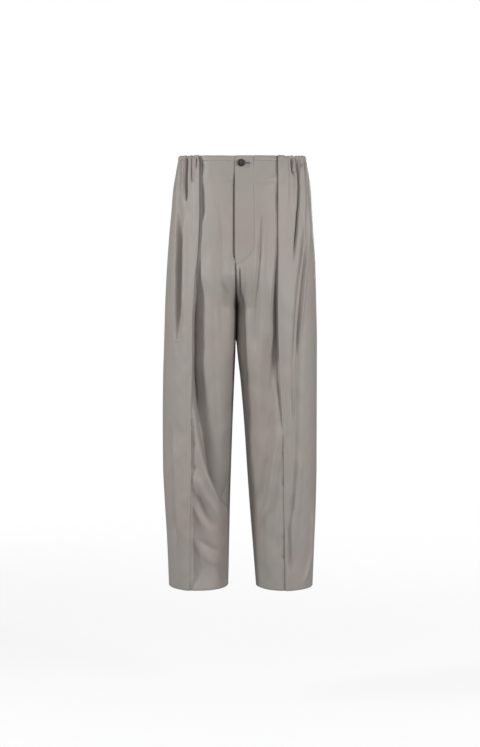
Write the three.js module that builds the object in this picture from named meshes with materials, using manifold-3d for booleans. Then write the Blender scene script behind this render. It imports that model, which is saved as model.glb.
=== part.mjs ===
// Wide-leg trousers with a pleat over each long front seam and an elastic gathered waist at the sides and back.
// They keep the hollow shape they have when worn, with nobody in them. Sizes are in millimetres.
// +Z is up, the front faces -Y, and the wearer's right leg is at -X. The origin is the middle of the waist
// opening, at the height of the top edge over the side seams.
import * as THREE from "three";
import { mergeVertices } from "three/addons/utils/BufferGeometryUtils.js";
import Module from "manifold-3d";

const wasm = await Module();
wasm.setup();

const RIGHT = -1; // the wearer's right half, at -X
const LEFT = 1; // the wearer's left half, at +X

// Cloth and seams.
const WALL = 1.2; // thickness of one layer of cloth
const CASING_WALL = 2.4; // two layers with elastic between them
const GAP = 0.3; // clearance left at every seam
const CASING_GAP = 0.8; // at the side seams and under the casings, whose thick edges tilt
const END_GAP = GAP / 2; // left free by each panel at its centre seam and inseam
const LAYER = WALL + GAP; // between the middles of two layers that lie on each other

// Heights, down from the origin.
const HEM = -1025;
const BAND_HEIGHT = 12; // front band and gathered casing
const FRONT_DIP = 5.5; // the top edge is this much lower at the centre front
const BACK_RISE = 6; // and this much higher at the centre back
const DIP_FADE = 80; // height over which the dip and the rise fade out

// Crotch: the centre seams run straight down, then curve inwards to meet.
const CURVE_TOP = -275;
const CROTCH = -360;
const SPLIT_TOP = -215; // the body section starts turning into two leg sections here
const SPLIT_FOOT = -400; // and each leg is a full tube from here down
const SPLIT_FULLNESS = 0.27; // makes up the depth that is lost halfway between the two kinds of section
const CURVE_REACH = 0.09; // share of the half's girth that the curve draws in, from each end
const LEAN = { front: 1.2, back: -5.5, reach: 40, depth: 45 }; // the legs' insides lean over each other, in x
const LEAN_TOP = -290; // between these heights, at its fullest from LEAN_FULL to LEAN_FADE
const LEAN_FULL = -350;
const LEAN_FADE = -415;
const LEAN_FOOT = -480;

// Fly, with the left front over the right one.
const FLY_FOOT = -264;
const FLY_FADE = 24; // height over which the overlap narrows, and over which its layers then come level
const FLY_STEP = 1.8; // the left front stands this far out, and the right one this far in, where they overlap
const FLY_LEFT_PAST = 0.003; // how far each front runs past the centre seam, as a share of its half
const FLY_RIGHT_PAST = 0.015;
const FLY_WIDTH = 41; // from the edge to the straight part of the J-shaped stitch line
const J_SHARE = 0.427; // the same line as a share of the left front's width
const J_STEP = 0.007; // width of the step in the left front's top edge beside the band
const FLY_LEVEL = { left: 0.1, right: 0.02 }; // the overlap's layers keep their level to here, as a share of the half
const FLY_SLOPE = 0.07; // and come back to the worn shape over this much more
const SHIELD_LEVEL = -4.2; // middle of the shield, over the worn shape
const SHIELD_PAST = 28; // how far the shield runs past the centre seam
const SHIELD_UNDER = 14; // and how far it lies behind the right front

// Button and buttonhole.
const BUTTON_X = -1.4;
const BUTTON_Z = -19.1; // on the undipped shape: the dip of the top edge takes the button to -23.3
const BUTTON_RADIUS = 8.8;
const BUTTON_THICK = 3.2;
const BUTTON_DISH_RADIUS = 6.2;
const BUTTON_DISH = 1; // depth of the dished middle
const BUTTON_BEVEL = 0.5;
const BUTTON_HOLE_RADIUS = 0.95;
const BUTTON_HOLE_OFFSET = 2; // of each of the four holes from the middle, both ways
const SHANK_RADIUS = 1.3;
const SHANK_RISE = 1.6; // length of thread between the cloth and the button
const SLIT_START = -3.6;
const SLIT_END = 18.2;
const SLIT_HEIGHT = 0.9;
const SLIT_EYE_RADIUS = 1.8; // the slit opens round the thread shank
const STITCHING_WIDTH = 4.2;
const STITCHING_THICK = 0.8;

// Sections of the worn shape: x of the widest point and of the inseam of each half, half depths, and how round
// the inside and the outside of the leg are (1 is an ellipse, less is squarer).
const SECTIONS = [
  { z: 0, outRight: -148, outLeft: 150, inRight: -13.5, inLeft: -13.5, front: 100, back: 100, inside: 0.5, outside: 0.74 },
  { z: -34, outRight: -155, outLeft: 158, inRight: -13.5, inLeft: -13.5, front: 107, back: 109, inside: 0.5, outside: 0.74 },
  { z: -82, outRight: -163, outLeft: 164, inRight: -13.5, inLeft: -13.5, front: 115, back: 118, inside: 0.5, outside: 0.74 },
  { z: -130, outRight: -167, outLeft: 167, inRight: -13.5, inLeft: -13.5, front: 120, back: 127, inside: 0.5, outside: 0.74 },
  { z: -190, outRight: -172.5, outLeft: 170.5, inRight: -13.6, inLeft: -13.4, front: 123, back: 134, inside: 0.5, outside: 0.74 },
  { z: -250, outRight: -177, outLeft: 174.5, inRight: -13.9, inLeft: -13.1, front: 123, back: 135, inside: 0.5, outside: 0.74 },
  { z: -345, outRight: -182, outLeft: 177, inRight: -14.3, inLeft: -12.7, front: 121, back: 131, inside: 0.5, outside: 0.76 },
  { z: -440, outRight: -185, outLeft: 179, inRight: -14.4, inLeft: -12.4, front: 119, back: 122, inside: 0.55, outside: 0.78 },
  { z: -540, outRight: -188, outLeft: 179, inRight: -18.8, inLeft: -2, front: 116, back: 116, inside: 0.62, outside: 0.8 },
  { z: -640, outRight: -189, outLeft: 179, inRight: -22.8, inLeft: 6.4, front: 112, back: 112, inside: 0.7, outside: 0.84 },
  { z: -735, outRight: -188.5, outLeft: 179, inRight: -26, inLeft: 12.6, front: 108, back: 109, inside: 0.78, outside: 0.88 },
  { z: -825, outRight: -184.5, outLeft: 177.5, inRight: -28.8, inLeft: 18.8, front: 105, back: 106, inside: 0.85, outside: 0.92 },
  { z: -920, outRight: -179, outLeft: 174, inRight: -30.8, inLeft: 26.3, front: 101, back: 103, inside: 0.92, outside: 0.96 },
  { z: -1025, outRight: -175, outLeft: 170, inRight: -33, inLeft: 34.5, front: 98, back: 100, inside: 1, outside: 1 },
];

// The folded edge of the pleat over each long front seam: its x on both fronts, how far it stands out from
// the worn shape, how far the side panel is turned under, and how deep the front panel is drawn in beside it.
const PLEATS = [
  { z: 0, right: -100.6, left: 83.9, stand: 5, turned: 22, drawnRight: 3, drawnLeft: 3 },
  { z: -127, right: -100.6, left: 83.9, stand: 5.4, turned: 22, drawnRight: 9, drawnLeft: 5 },
  { z: -252, right: -107.7, left: 83.9, stand: 5, turned: 18, drawnRight: 14, drawnLeft: 7 },
  { z: -390, right: -114.7, left: 84.5, stand: 4, turned: 14, drawnRight: 15, drawnLeft: 15 },
  { z: -506, right: -116, left: 88.2, stand: 3.4, turned: 12, drawnRight: 9, drawnLeft: 6 },
  { z: -609, right: -119, left: 93.8, stand: 3, turned: 10, drawnRight: 4, drawnLeft: 3 },
  { z: -720, right: -118, left: 98, stand: 2.8, turned: 8, drawnRight: 2.5, drawnLeft: 2.5 },
  { z: -849, right: -121.8, left: 100, stand: 2.7, turned: 8, drawnRight: 2.5, drawnLeft: 2.5 },
  { z: -1025, right: -123.2, left: 103.4, stand: 2.6, turned: 8, drawnRight: 2.5, drawnLeft: 3 },
];
const PLEAT_LOOP = 3.2; // between the middles of the panel and of its turned-under part
const SEWN_SHARE = 0.8; // of the turned-under width, where the front panel comes up to the seam
const PLEAT_SPREAD = 26; // the side panel comes back to the worn shape over this width
const DRAWN_SPREAD = 18; // the front panel comes back over this width
const SEAT_SPREAD = 40; // and from its seat under the pleat over this one

// Main folds. Each path runs through three points, and rise is positive for a ridge and negative for a
// trough. toCentre and toSide are its half widths on its two sides.
const FOLDS = [
  {
    // the trough that leaves the right pleat and crosses the thigh to the inner knee
    half: RIGHT, rise: -11, toCentre: 18, toSide: 14,
    top: { z: -330, x: -106 }, bend: { z: -532, x: -91 }, foot: { z: -815, x: -30 },
  },
  {
    // the soft ridge outside the same trough, between it and the seam
    half: RIGHT, rise: 4, toCentre: 14, toSide: 14,
    top: { z: -480, x: -112 }, bend: { z: -640, x: -103 }, foot: { z: -800, x: -72 },
  },
  {
    // the trough that leaves the left pleat and runs down inside the knee
    half: LEFT, rise: -9, toCentre: 16, toSide: 12,
    top: { z: -330, x: 80 }, bend: { z: -562, x: 61 }, foot: { z: -850, x: 38 },
  },
  {
    // the ridge from the left seam across the knee to the inner leg
    half: LEFT, rise: 5, toCentre: 14, toSide: 12,
    top: { z: -610, x: 92 }, bend: { z: -735, x: 74 }, foot: { z: -890, x: 38 },
  },
  {
    // the hollow down the right side, below the gathers
    half: RIGHT, rise: -4.5, toCentre: 9, toSide: 12,
    top: { z: -110, x: -147 }, bend: { z: -290, x: -150 }, foot: { z: -480, x: -152 },
  },
  {
    // the deep gather on the right side
    half: RIGHT, rise: -4, toCentre: 8, toSide: 8,
    top: { z: -6, x: -130 }, bend: { z: -60, x: -130.5 }, foot: { z: -125, x: -131 },
  },
  {
    // the deep gather on the left side
    half: LEFT, rise: -4.5, toCentre: 8, toSide: 9,
    top: { z: -6, x: 134 }, bend: { z: -120, x: 131.5 }, foot: { z: -260, x: 119 },
  },
  {
    // the long crease down the outside of the left leg
    half: LEFT, rise: -4, toCentre: 10, toSide: 12,
    top: { z: -560, x: 127 }, bend: { z: -770, x: 120 }, foot: { z: -1000, x: 110 },
  },
  {
    // the long crease down the outside of the right leg
    half: RIGHT, rise: -3, toCentre: 8, toSide: 9,
    top: { z: -600, x: -172 }, bend: { z: -790, x: -163 }, foot: { z: -980, x: -156 },
  },
  {
    // the ridge across the right shin, towards the hem
    half: RIGHT, rise: 4, toCentre: 13, toSide: 13,
    top: { z: -850, x: -112 }, bend: { z: -930, x: -92 }, foot: { z: -1000, x: -55 },
  },
];

// Gathers on the elastic: ridges round each half, at their highest just under the casing.
const GATHER_RISE = 2;
const GATHER_FADE = 190; // height over which they run out
const SIDE_GATHERS = 5; // from the pleat to the side seam
const BACK_GATHERS = 5; // from the side seam to the centre back

// Heights of the points down a panel, under its top edge, and its columns as shares of its width.
const PANEL_ROWS = [
  -24, -60, -105, -150, -195, -218, -240, -252, -264, -288, -312, -336, -350, -360, -380, -404, -446, -510, -585,
  -665, -745, -825, -900, -965, -1025,
];
const FRONT_RIGHT_COLUMNS = [0, 0.07, 0.16, 0.27, 0.38, 0.5, 0.62, 0.74, 0.84, 0.93, 1];
const FRONT_LEFT_COLUMNS = [0, 0.1, 0.2, 0.31, J_SHARE - J_STEP, J_SHARE, 0.54, 0.66, 0.77, 0.87, 0.94, 1];

// Value of a table's column at a height, on a smooth curve through its rows that never runs past them.
function tableAt(table, column, z) {
  const last = table.length - 1;
  if (z >= table[0].z) return table[0][column];
  if (z <= table[last].z) return table[last][column];
  const i = table.findIndex((row) => row.z <= z);
  const secant = (b) => (table[b][column] - table[b - 1][column]) / (table[b].z - table[b - 1].z);
  const slope = (b) => {
    if (b === 0) return secant(1);
    if (b === last) return secant(last);
    const [above, below] = [secant(b), secant(b + 1)];
    return above * below <= 0 ? 0 : (2 * above * below) / (above + below);
  };
  const span = table[i].z - table[i - 1].z;
  const share = (z - table[i - 1].z) / span;
  const start = slope(i - 1) * span;
  const end = slope(i) * span;
  const [s2, s3] = [share * share, share * share * share];
  return (
    (2 * s3 - 3 * s2 + 1) * table[i - 1][column] +
    (s3 - 2 * s2 + share) * start +
    (3 * s2 - 2 * s3) * table[i][column] +
    (s3 - s2) * end
  );
}

function clamp01(value) {
  return Math.min(1, Math.max(0, value));
}

// 0 at from, 1 at to, with level ends.
function ease(from, to, value) {
  const share = clamp01((value - from) / (to - from));
  return share * share * (3 - 2 * share);
}

// The worn shape. share runs round one half, from the centre front or inseam (0), over the front (0.25) and
// the side seam (0.5), to the centre back or inseam (1). A negative share is on the other half.
function form(half, share, z) {
  if (share < 0) return form(-half, -share, z);
  const outer = tableAt(SECTIONS, half === RIGHT ? "outRight" : "outLeft", z);
  const inner = tableAt(SECTIONS, half === RIGHT ? "inRight" : "inLeft", z);
  const isFront = share <= 0.5;
  const depth = tableAt(SECTIONS, isFront ? "front" : "back", z);
  const width = Math.abs(outer);
  const seamAngle = Math.asin(inner / width);
  const sideAngle = (half * Math.PI) / 2;
  const bodyAngle = isFront
    ? seamAngle + (sideAngle - seamAngle) * share * 2
    : sideAngle + (sideAngle - seamAngle) * (share * 2 - 1);
  const legAngle = share * 2 * Math.PI;
  const legRadius = Math.abs(outer - inner) / 2;
  const split = ease(SPLIT_TOP, SPLIT_FOOT, z);
  const x =
    (1 - split) * width * Math.sin(bodyAngle) +
    split * ((outer + inner) / 2 - half * legRadius * Math.cos(legAngle));
  const outside = tableAt(SECTIONS, "outside", z);
  const leg = share < 0.25 || share > 0.75 ? tableAt(SECTIONS, "inside", z) : outside;
  const bodyDepth = rounded(Math.cos(bodyAngle), outside);
  const fullness = 1 + SPLIT_FULLNESS * split * (1 - split);
  const y = -depth * fullness * ((1 - split) * bodyDepth + split * rounded(Math.sin(legAngle), leg));
  const drawn = y + seamDraw(share, z, depth, Math.cos(seamAngle), (1 - split) * fullness);
  return new THREE.Vector3(x + lean(x, drawn, z), drawn, z + topShift(bodyAngle, z));
}

// A cosine or sine whose curve is squarer the lower its power is.
function rounded(value, power) {
  return Math.sign(value) * Math.abs(value) ** power;
}

// How far a point moves towards the middle so that the centre seams follow the crotch curve.
function seamDraw(share, z, depth, seamCosine, unmovedShare) {
  const fromEnd = Math.min(share, 1 - share);
  if (fromEnd >= CURVE_REACH) return 0;
  const down = clamp01((CURVE_TOP - z) / (CURVE_TOP - CROTCH));
  const wanted = depth * seamCosine * Math.sqrt(1 - down * down);
  const unmoved = depth * seamCosine * unmovedShare;
  const pull = (1 - fromEnd / CURVE_REACH) ** 2;
  return (unmoved - wanted) * pull * (share <= 0.5 ? 1 : -1);
}

// Under the crotch the insides of the legs lie against each other in a shallow S, so no gap shows between them.
function lean(x, y, z) {
  const middle = (SECTIONS[0].inRight + SECTIONS[0].inLeft) / 2;
  const near = Math.exp(-(((x - middle) / LEAN.reach) ** 2));
  const height = ease(LEAN_TOP, LEAN_FULL, z) * ease(LEAN_FOOT, LEAN_FADE, z);
  return THREE.MathUtils.lerp(LEAN.front, LEAN.back, ease(-LEAN.depth, 0, y)) * near * height;
}

// The top edge dips at the front and rises at the back.
function topShift(bodyAngle, z) {
  const towardsFront = Math.cos(bodyAngle);
  const shift = towardsFront > 0 ? -FRONT_DIP * towardsFront : -BACK_RISE * towardsFront;
  return shift * clamp01(1 + z / DIP_FADE);
}

function formNormal(half, share, z) {
  const step = 0.002;
  const acrossStep = form(half, share + step, z).sub(form(half, share - step, z));
  if (share > 1 - step) acrossStep.copy(form(half, 1, z).sub(form(half, 1 - step, z)));
  if (share >= 0 && share < step && z < CROTCH) acrossStep.copy(form(half, step, z).sub(form(half, 0, z)));
  const level = Math.min(Math.max(z, HEM + 1), -1);
  const downStep = form(half, clamp01(Math.abs(share)), level - 1).sub(form(half, clamp01(Math.abs(share)), level + 1));
  if (share < 0 || downStep.lengthSq() === 0) downStep.set(0, 0, -1);
  return downStep.cross(acrossStep).normalize().multiplyScalar(half);
}

// A point of the worn shape moved out along its normal.
function raised(half, share, z, distance) {
  return form(half, share, z).addScaledVector(formNormal(half, share, z), distance);
}

// The share of a half's girth whose front point has the given x.
function shareAtX(half, x, z) {
  let [low, high] = [0, 0.5];
  for (let i = 0; i < 40; i += 1) {
    const middle = (low + high) / 2;
    if (half * (form(half, middle, z).x - x) < 0) low = middle;
    else high = middle;
  }
  return (low + high) / 2;
}

// x of a fold's path at a height: a parabola through its three points.
function pathAt({ top, bend, foot }, z) {
  const lower = (foot.x - bend.x) / (foot.z - bend.z);
  const upper = (bend.x - top.x) / (bend.z - top.z);
  const curve = (lower - upper) / (foot.z - top.z);
  return top.x + (z - top.z) * (upper + curve * (z - bend.z));
}

// Height of the main folds over the worn shape. The back has the same folds as the front.
function foldRise(half, share, z) {
  const x = form(half, share <= 0.5 ? share : 1 - share, z).x;
  let rise = 0;
  for (const fold of FOLDS) {
    if (fold.half !== half || z > fold.top.z || z < fold.foot.z) continue;
    const towardsSide = half * (x - pathAt(fold, z));
    const width = towardsSide > 0 ? fold.toSide : fold.toCentre;
    const along = (z - fold.top.z) / (fold.foot.z - fold.top.z);
    rise += fold.rise * Math.exp(-((towardsSide / width) ** 2)) * Math.sin(Math.PI * along) ** 0.7;
  }
  return rise * ease(0, 0.06, Math.min(share, 1 - share));
}

function gatherRise(along, count, z) {
  return -GATHER_RISE * Math.cos(along * count * 2 * Math.PI) * clamp01(1 + z / GATHER_FADE);
}

function pleatAt(half, z) {
  return {
    share: shareAtX(half, tableAt(PLEATS, half === RIGHT ? "right" : "left", z), z),
    stand: tableAt(PLEATS, "stand", z),
    turned: tableAt(PLEATS, "turned", z),
    drawn: tableAt(PLEATS, half === RIGHT ? "drawnRight" : "drawnLeft", z),
  };
}

// Girth of one half's front in mm per unit of share, near the pleat.
function girthPerShare(half, share, z) {
  return form(half, share + 0.005, z).distanceTo(form(half, share - 0.005, z)) / 0.01;
}

// One layer of cloth: rows of points on the middle of the wall become a closed solid.
function sheetGeometry(rows, wall) {
  const [rowCount, columnCount] = [rows.length, rows[0].length];
  const positions = [];
  for (const side of [0.5, -0.5])
    for (let i = 0; i < rowCount; i += 1)
      for (let j = 0; j < columnCount; j += 1) {
        const down = rows[Math.min(i + 1, rowCount - 1)][j].clone().sub(rows[Math.max(i - 1, 0)][j]);
        const across = rows[i][Math.min(j + 1, columnCount - 1)].clone().sub(rows[i][Math.max(j - 1, 0)]);
        const normal = down.cross(across).normalize();
        positions.push(...rows[i][j].clone().addScaledVector(normal, side * wall).toArray());
      }
  const index = [];
  const offset = rowCount * columnCount;
  const at = (i, j) => i * columnCount + j;
  for (let i = 0; i + 1 < rowCount; i += 1)
    for (let j = 0; j + 1 < columnCount; j += 1) {
      const [a, b, c, d] = [at(i, j), at(i + 1, j), at(i + 1, j + 1), at(i, j + 1)];
      index.push(a, b, c, a, c, d);
      index.push(offset + a, offset + c, offset + b, offset + a, offset + d, offset + c);
    }
  const edge = [];
  for (let i = 0; i + 1 < rowCount; i += 1) edge.push(at(i, 0));
  for (let j = 0; j + 1 < columnCount; j += 1) edge.push(at(rowCount - 1, j));
  for (let i = rowCount - 1; i > 0; i -= 1) edge.push(at(i, columnCount - 1));
  for (let j = columnCount - 1; j > 0; j -= 1) edge.push(at(0, j));
  edge.forEach((a, i) => {
    const b = edge[(i + 1) % edge.length];
    index.push(a, offset + a, offset + b, a, offset + b, b);
  });
  const geometry = new THREE.BufferGeometry();
  geometry.setAttribute("position", new THREE.Float32BufferAttribute(positions, 3));
  geometry.setIndex(index);
  return facedOut(geometry);
}

function signedVolume(geometry) {
  const index = geometry.index.array;
  const position = geometry.attributes.position;
  const [a, b, c] = [new THREE.Vector3(), new THREE.Vector3(), new THREE.Vector3()];
  let volume = 0;
  for (let i = 0; i < index.length; i += 3) {
    a.fromBufferAttribute(position, index[i]);
    b.fromBufferAttribute(position, index[i + 1]);
    c.fromBufferAttribute(position, index[i + 2]);
    volume += a.dot(b.cross(c)) / 6;
  }
  return volume;
}

function facedOut(geometry) {
  if (signedVolume(geometry) > 0) return geometry;
  const index = Array.from(geometry.index.array);
  for (let i = 0; i < index.length; i += 3) [index[i + 1], index[i + 2]] = [index[i + 2], index[i + 1]];
  geometry.setIndex(index);
  return geometry;
}

// Solids for cuts.
function solidOf(geometry) {
  const bare = new THREE.BufferGeometry();
  bare.setAttribute("position", geometry.attributes.position.clone());
  if (geometry.index) bare.setIndex(geometry.index.clone());
  const merged = mergeVertices(bare, 1e-3);
  const vertProperties = merged.attributes.position.array;
  const triVerts = new Uint32Array(merged.index.array);
  return new wasm.Manifold(new wasm.Mesh({ numProp: 3, vertProperties, triVerts }));
}

function geometryOf(solid) {
  const mesh = solid.getMesh();
  const geometry = new THREE.BufferGeometry();
  geometry.setAttribute("position", new THREE.BufferAttribute(mesh.vertProperties, 3));
  geometry.setIndex(new THREE.BufferAttribute(mesh.triVerts, 1));
  return geometry;
}

// How far the left front stands out, and the right one in, where they overlap.
function flyStep(half, share, z) {
  const level = half === LEFT ? FLY_LEVEL.left : FLY_LEVEL.right;
  return half * FLY_STEP * ease(FLY_FOOT - FLY_FADE, FLY_FOOT, z) * ease(level + FLY_SLOPE, level, share);
}

// Height of a front panel over the worn shape.
function frontRise(half, share, z, pleat) {
  const perShare = girthPerShare(half, pleat.share, z);
  const beside = (pleat.share - share) * perShare;
  const drawnIn = pleat.drawn * Math.exp(-((beside / DRAWN_SPREAD) ** 2));
  const seated = seat(pleat) * Math.exp(-((beside / SEAT_SPREAD) ** 2));
  const open = foldRise(half, share, z) - drawnIn - seated + flyStep(half, share, z);
  if (beside >= 0) return open;
  const sewn = pleat.stand - PLEAT_LOOP - LAYER;
  const start = foldRise(half, pleat.share, z) - pleat.drawn - seat(pleat);
  return THREE.MathUtils.lerp(Math.min(sewn, start), sewn, ease(0, pleat.turned * SEWN_SHARE, -beside));
}

// The front panel lies under the turned part of the side panel, with a clearance.
function seat(pleat) {
  return Math.max(0, PLEAT_LOOP + LAYER - pleat.stand);
}

// Heights of the rows of a piece: its own top edge, then the rows that all the panels share.
function rowHeights(top) {
  return [top, ...PANEL_ROWS];
}

// The share of a half's girth at which a front or back panel starts from its centre seam or inseam.
function endShare(half, z) {
  const end = form(half, 0, z);
  let [low, high] = [0, 0.01];
  for (let i = 0; i < 30; i += 1) {
    const middle = (low + high) / 2;
    if (form(half, middle, z).distanceTo(end) < END_GAP) low = middle;
    else high = middle;
  }
  return high;
}

// A point of the front panel. Columns above 1 run on under the side panel.
function frontPoint(half, column, z) {
  const pleat = pleatAt(half, z);
  const past = half === LEFT ? FLY_LEFT_PAST : FLY_RIGHT_PAST;
  const end = endShare(half, z);
  const first = end - (past + end) * ease(FLY_FOOT, FLY_FOOT + FLY_FADE, z);
  const under = (column - 1) * (pleat.turned / girthPerShare(half, pleat.share, z));
  const share = column <= 1 ? first + (pleat.share - first) * column : pleat.share + under;
  return raised(half, share, z, frontRise(half, share, z, pleat));
}

function frontPanel(half) {
  const underColumns = [1.45, 1.9];
  const columns = [...(half === LEFT ? FRONT_LEFT_COLUMNS : FRONT_RIGHT_COLUMNS), ...underColumns];
  const belowBand = -BAND_HEIGHT - GAP;
  const topOf = (column) => (half === LEFT && column < J_SHARE ? 0 : belowBand);
  const rowOf = (z, i) => columns.map((column) => frontPoint(half, column, i === 0 ? topOf(column) : z));
  return sheetGeometry(rowHeights(belowBand).map(rowOf), WALL);
}

// The band on one front, from the fly to under the pleat.
function frontBand(half) {
  const first = half === LEFT ? J_SHARE + J_STEP / 2 : 0;
  const last = 1.6;
  const count = 8;
  const rows = [0, -BAND_HEIGHT / 2, -BAND_HEIGHT].map((z) =>
    Array.from({ length: count + 1 }, (_, j) => frontPoint(half, first + ((last - first) * j) / count, z)),
  );
  return sheetGeometry(rows, WALL);
}

// Height of a side panel's outer layer over the worn shape, by distance from its folded edge.
function sideRise(half, share, z, pleat) {
  const beside = (share - pleat.share) * girthPerShare(half, pleat.share, z);
  const stand = pleat.stand * Math.exp(-((beside / PLEAT_SPREAD) ** 2));
  const along = (share - pleat.share) / (0.5 - pleat.share);
  const calm = ease(0, 12, beside);
  return stand + calm * (foldRise(half, share, z) + gatherRise(along, SIDE_GATHERS, z));
}

// One row of a side panel: its turned-under part, the folded edge, then the outer layer to the side seam.
function sidePanelRow(half, z) {
  const pleat = pleatAt(half, z);
  const perShare = girthPerShare(half, pleat.share, z);
  const under = pleat.stand - PLEAT_LOOP;
  const middle = pleat.stand - PLEAT_LOOP / 2;
  const at = (distance, rise) => raised(half, pleat.share + distance / perShare, z, rise);
  const row = [
    at(pleat.turned, under),
    at(1.5, under),
    at(0, middle - 0.7),
    at(0, middle + 0.7),
  ];
  const last = 0.5 - seamShare(half, z, GAP);
  const outerColumns = 8;
  for (let j = 0; j <= outerColumns; j += 1) {
    const share = pleat.share + 1.6 / perShare + ((last - pleat.share - 1.6 / perShare) * j) / outerColumns;
    row.push(raised(half, share, z, sideRise(half, share, z, pleat)));
  }
  return row;
}

// Half the clearance at the side seam, as a share of the half's girth.
function seamShare(half, z, clearance) {
  return clearance / 2 / (form(half, 0.501, z).distanceTo(form(half, 0.499, z)) / 0.002);
}

function sidePanel(half) {
  return sheetGeometry(rowHeights(-BAND_HEIGHT - GAP).map((z) => sidePanelRow(half, z)), WALL);
}

// Heights of a casing's rows, and how far its elastic puffs it out there.
const CASING_ROWS = [
  { z: 0, puff: 0 },
  { z: -BAND_HEIGHT / 2, puff: 0.8 },
  { z: -BAND_HEIGHT + CASING_GAP / 2, puff: 0 },
];

function sideCasing(half) {
  const count = SIDE_GATHERS * 4;
  const rows = CASING_ROWS.map(({ z, puff }) => {
    const pleat = pleatAt(half, z);
    const last = 0.5 - seamShare(half, z, CASING_GAP);
    return Array.from({ length: count + 1 }, (_, j) => {
      const share = pleat.share + ((last - pleat.share) * j) / count;
      return raised(half, share, z, sideRise(half, share, z, pleat) + puff);
    });
  });
  return sheetGeometry(rows, CASING_WALL);
}

function backRise(half, share, z) {
  const along = (share - 0.5) * 2;
  const calm = ease(0, 0.05, along) * ease(1, 0.95, along);
  return calm * (foldRise(half, share, z) + gatherRise(along, BACK_GATHERS, z));
}

function backRow(half, z, columnCount, lift, clearance) {
  const first = 0.5 + seamShare(half, z, clearance);
  const last = 1 - endShare(half, z);
  return Array.from({ length: columnCount + 1 }, (_, j) => {
    const share = first + ((last - first) * j) / columnCount;
    return raised(half, share, z, backRise(half, share, z) + lift);
  });
}

function backPanel(half) {
  const rows = rowHeights(-BAND_HEIGHT - GAP).map((z) => backRow(half, z, BACK_GATHERS * 2, 0, GAP));
  return sheetGeometry(rows, WALL);
}

function backCasing(half) {
  const rows = CASING_ROWS.map(({ z, puff }) => backRow(half, z, BACK_GATHERS * 4, puff, CASING_GAP));
  return sheetGeometry(rows, CASING_WALL);
}

// A point of the front near the fly, by x, moved out from the worn shape.
function flyPoint(x, z, rise) {
  const centre = (SECTIONS[0].inRight + SECTIONS[0].inLeft) / 2;
  const half = x < centre ? RIGHT : LEFT;
  return raised(half, shareAtX(half, x, z), z, rise);
}

// Heights of the rows of the pieces behind the fly, which match the panels' rows.
const FLY_ROWS = [0, ...PANEL_ROWS.filter((z) => z >= FLY_FOOT + FLY_FADE)];

// The facing behind the left front. Its outer edge curves in to the centre seam at the foot, like a J.
function flyFacing() {
  const edge = SECTIONS[0].inLeft;
  const curveTop = -190;
  const curveDepth = 54;
  const rows = FLY_ROWS.map((z) => {
    const down = clamp01((curveTop - z) / curveDepth);
    const width = FLY_WIDTH * Math.sqrt(1 - down * down);
    return [0, 0.25, 0.5, 0.75, 1].map((share) => flyPoint(edge + width * share, z, 0));
  });
  return sheetGeometry(rows, WALL);
}

// The shield under both fronts, sewn to the right one. The button's thread is sewn through it.
function flyShield() {
  const centre = SECTIONS[0].inRight;
  const rows = FLY_ROWS.map((z) =>
    [0, 0.25, 0.5, 0.75, 1].map((share) => {
      const x = centre - SHIELD_UNDER + (SHIELD_UNDER + SHIELD_PAST) * share;
      return flyPoint(x, z, SHIELD_LEVEL);
    }),
  );
  return sheetGeometry(rows, WALL);
}

// Turns a geometry whose axis is +Z to face out of the front where the button is, at the given rise.
function onFly(geometry, x, rise) {
  const half = LEFT;
  const share = shareAtX(half, x, BUTTON_Z);
  const normal = formNormal(half, share, BUTTON_Z);
  const turn = new THREE.Quaternion().setFromUnitVectors(new THREE.Vector3(0, 0, 1), normal);
  geometry.applyQuaternion(turn);
  const place = form(half, share, BUTTON_Z).addScaledVector(normal, rise);
  return geometry.translate(place.x, place.y, place.z);
}

// A rod along +Z that starts at z = 0.
function rod(radius, length, segments) {
  return new THREE.CylinderGeometry(radius, radius, length, segments).rotateX(Math.PI / 2).translate(0, 0, length / 2);
}

const CLOTH_FACE = FLY_STEP + WALL / 2; // outer face of the left front near the fly, over the worn shape
const BUTTON_BACK = CLOTH_FACE + SHANK_RISE;

function button() {
  const profile = [
    [0, 0],
    [BUTTON_RADIUS - BUTTON_BEVEL, 0],
    [BUTTON_RADIUS, BUTTON_BEVEL],
    [BUTTON_RADIUS, BUTTON_THICK - BUTTON_BEVEL],
    [BUTTON_RADIUS - BUTTON_BEVEL, BUTTON_THICK],
    [BUTTON_DISH_RADIUS + BUTTON_BEVEL, BUTTON_THICK],
    [BUTTON_DISH_RADIUS, BUTTON_THICK - BUTTON_DISH],
    [0, BUTTON_THICK - BUTTON_DISH],
  ].map(([radius, height]) => new THREE.Vector2(radius, height));
  let disc = solidOf(new THREE.LatheGeometry(profile, 32).rotateX(Math.PI / 2));
  for (const [across, up] of [[1, 1], [1, -1], [-1, 1], [-1, -1]]) {
    const hole = rod(BUTTON_HOLE_RADIUS, BUTTON_THICK + 2, 12);
    hole.translate(across * BUTTON_HOLE_OFFSET, up * BUTTON_HOLE_OFFSET, -1);
    disc = disc.subtract(solidOf(hole));
  }
  return facedOut(onFly(geometryOf(disc), BUTTON_X, BUTTON_BACK));
}

function buttonShank() {
  const foot = SHIELD_LEVEL + WALL / 2 + GAP;
  return onFly(rod(SHANK_RADIUS, BUTTON_BACK - GAP - foot, 12), BUTTON_X, foot);
}

// The slit and its eye round the shank, as a cutting solid through all the layers.
function slitCutter() {
  const [length, depth] = [SLIT_END - SLIT_START, 30];
  const slot = new THREE.BoxGeometry(length, depth, SLIT_HEIGHT);
  const middle = form(LEFT, shareAtX(LEFT, BUTTON_X, BUTTON_Z), BUTTON_Z);
  slot.translate((SLIT_START + SLIT_END) / 2, middle.y, middle.z);
  const eye = onFly(rod(SLIT_EYE_RADIUS, 12, 12), BUTTON_X, -WALL);
  return solidOf(slot).add(solidOf(eye));
}

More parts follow.
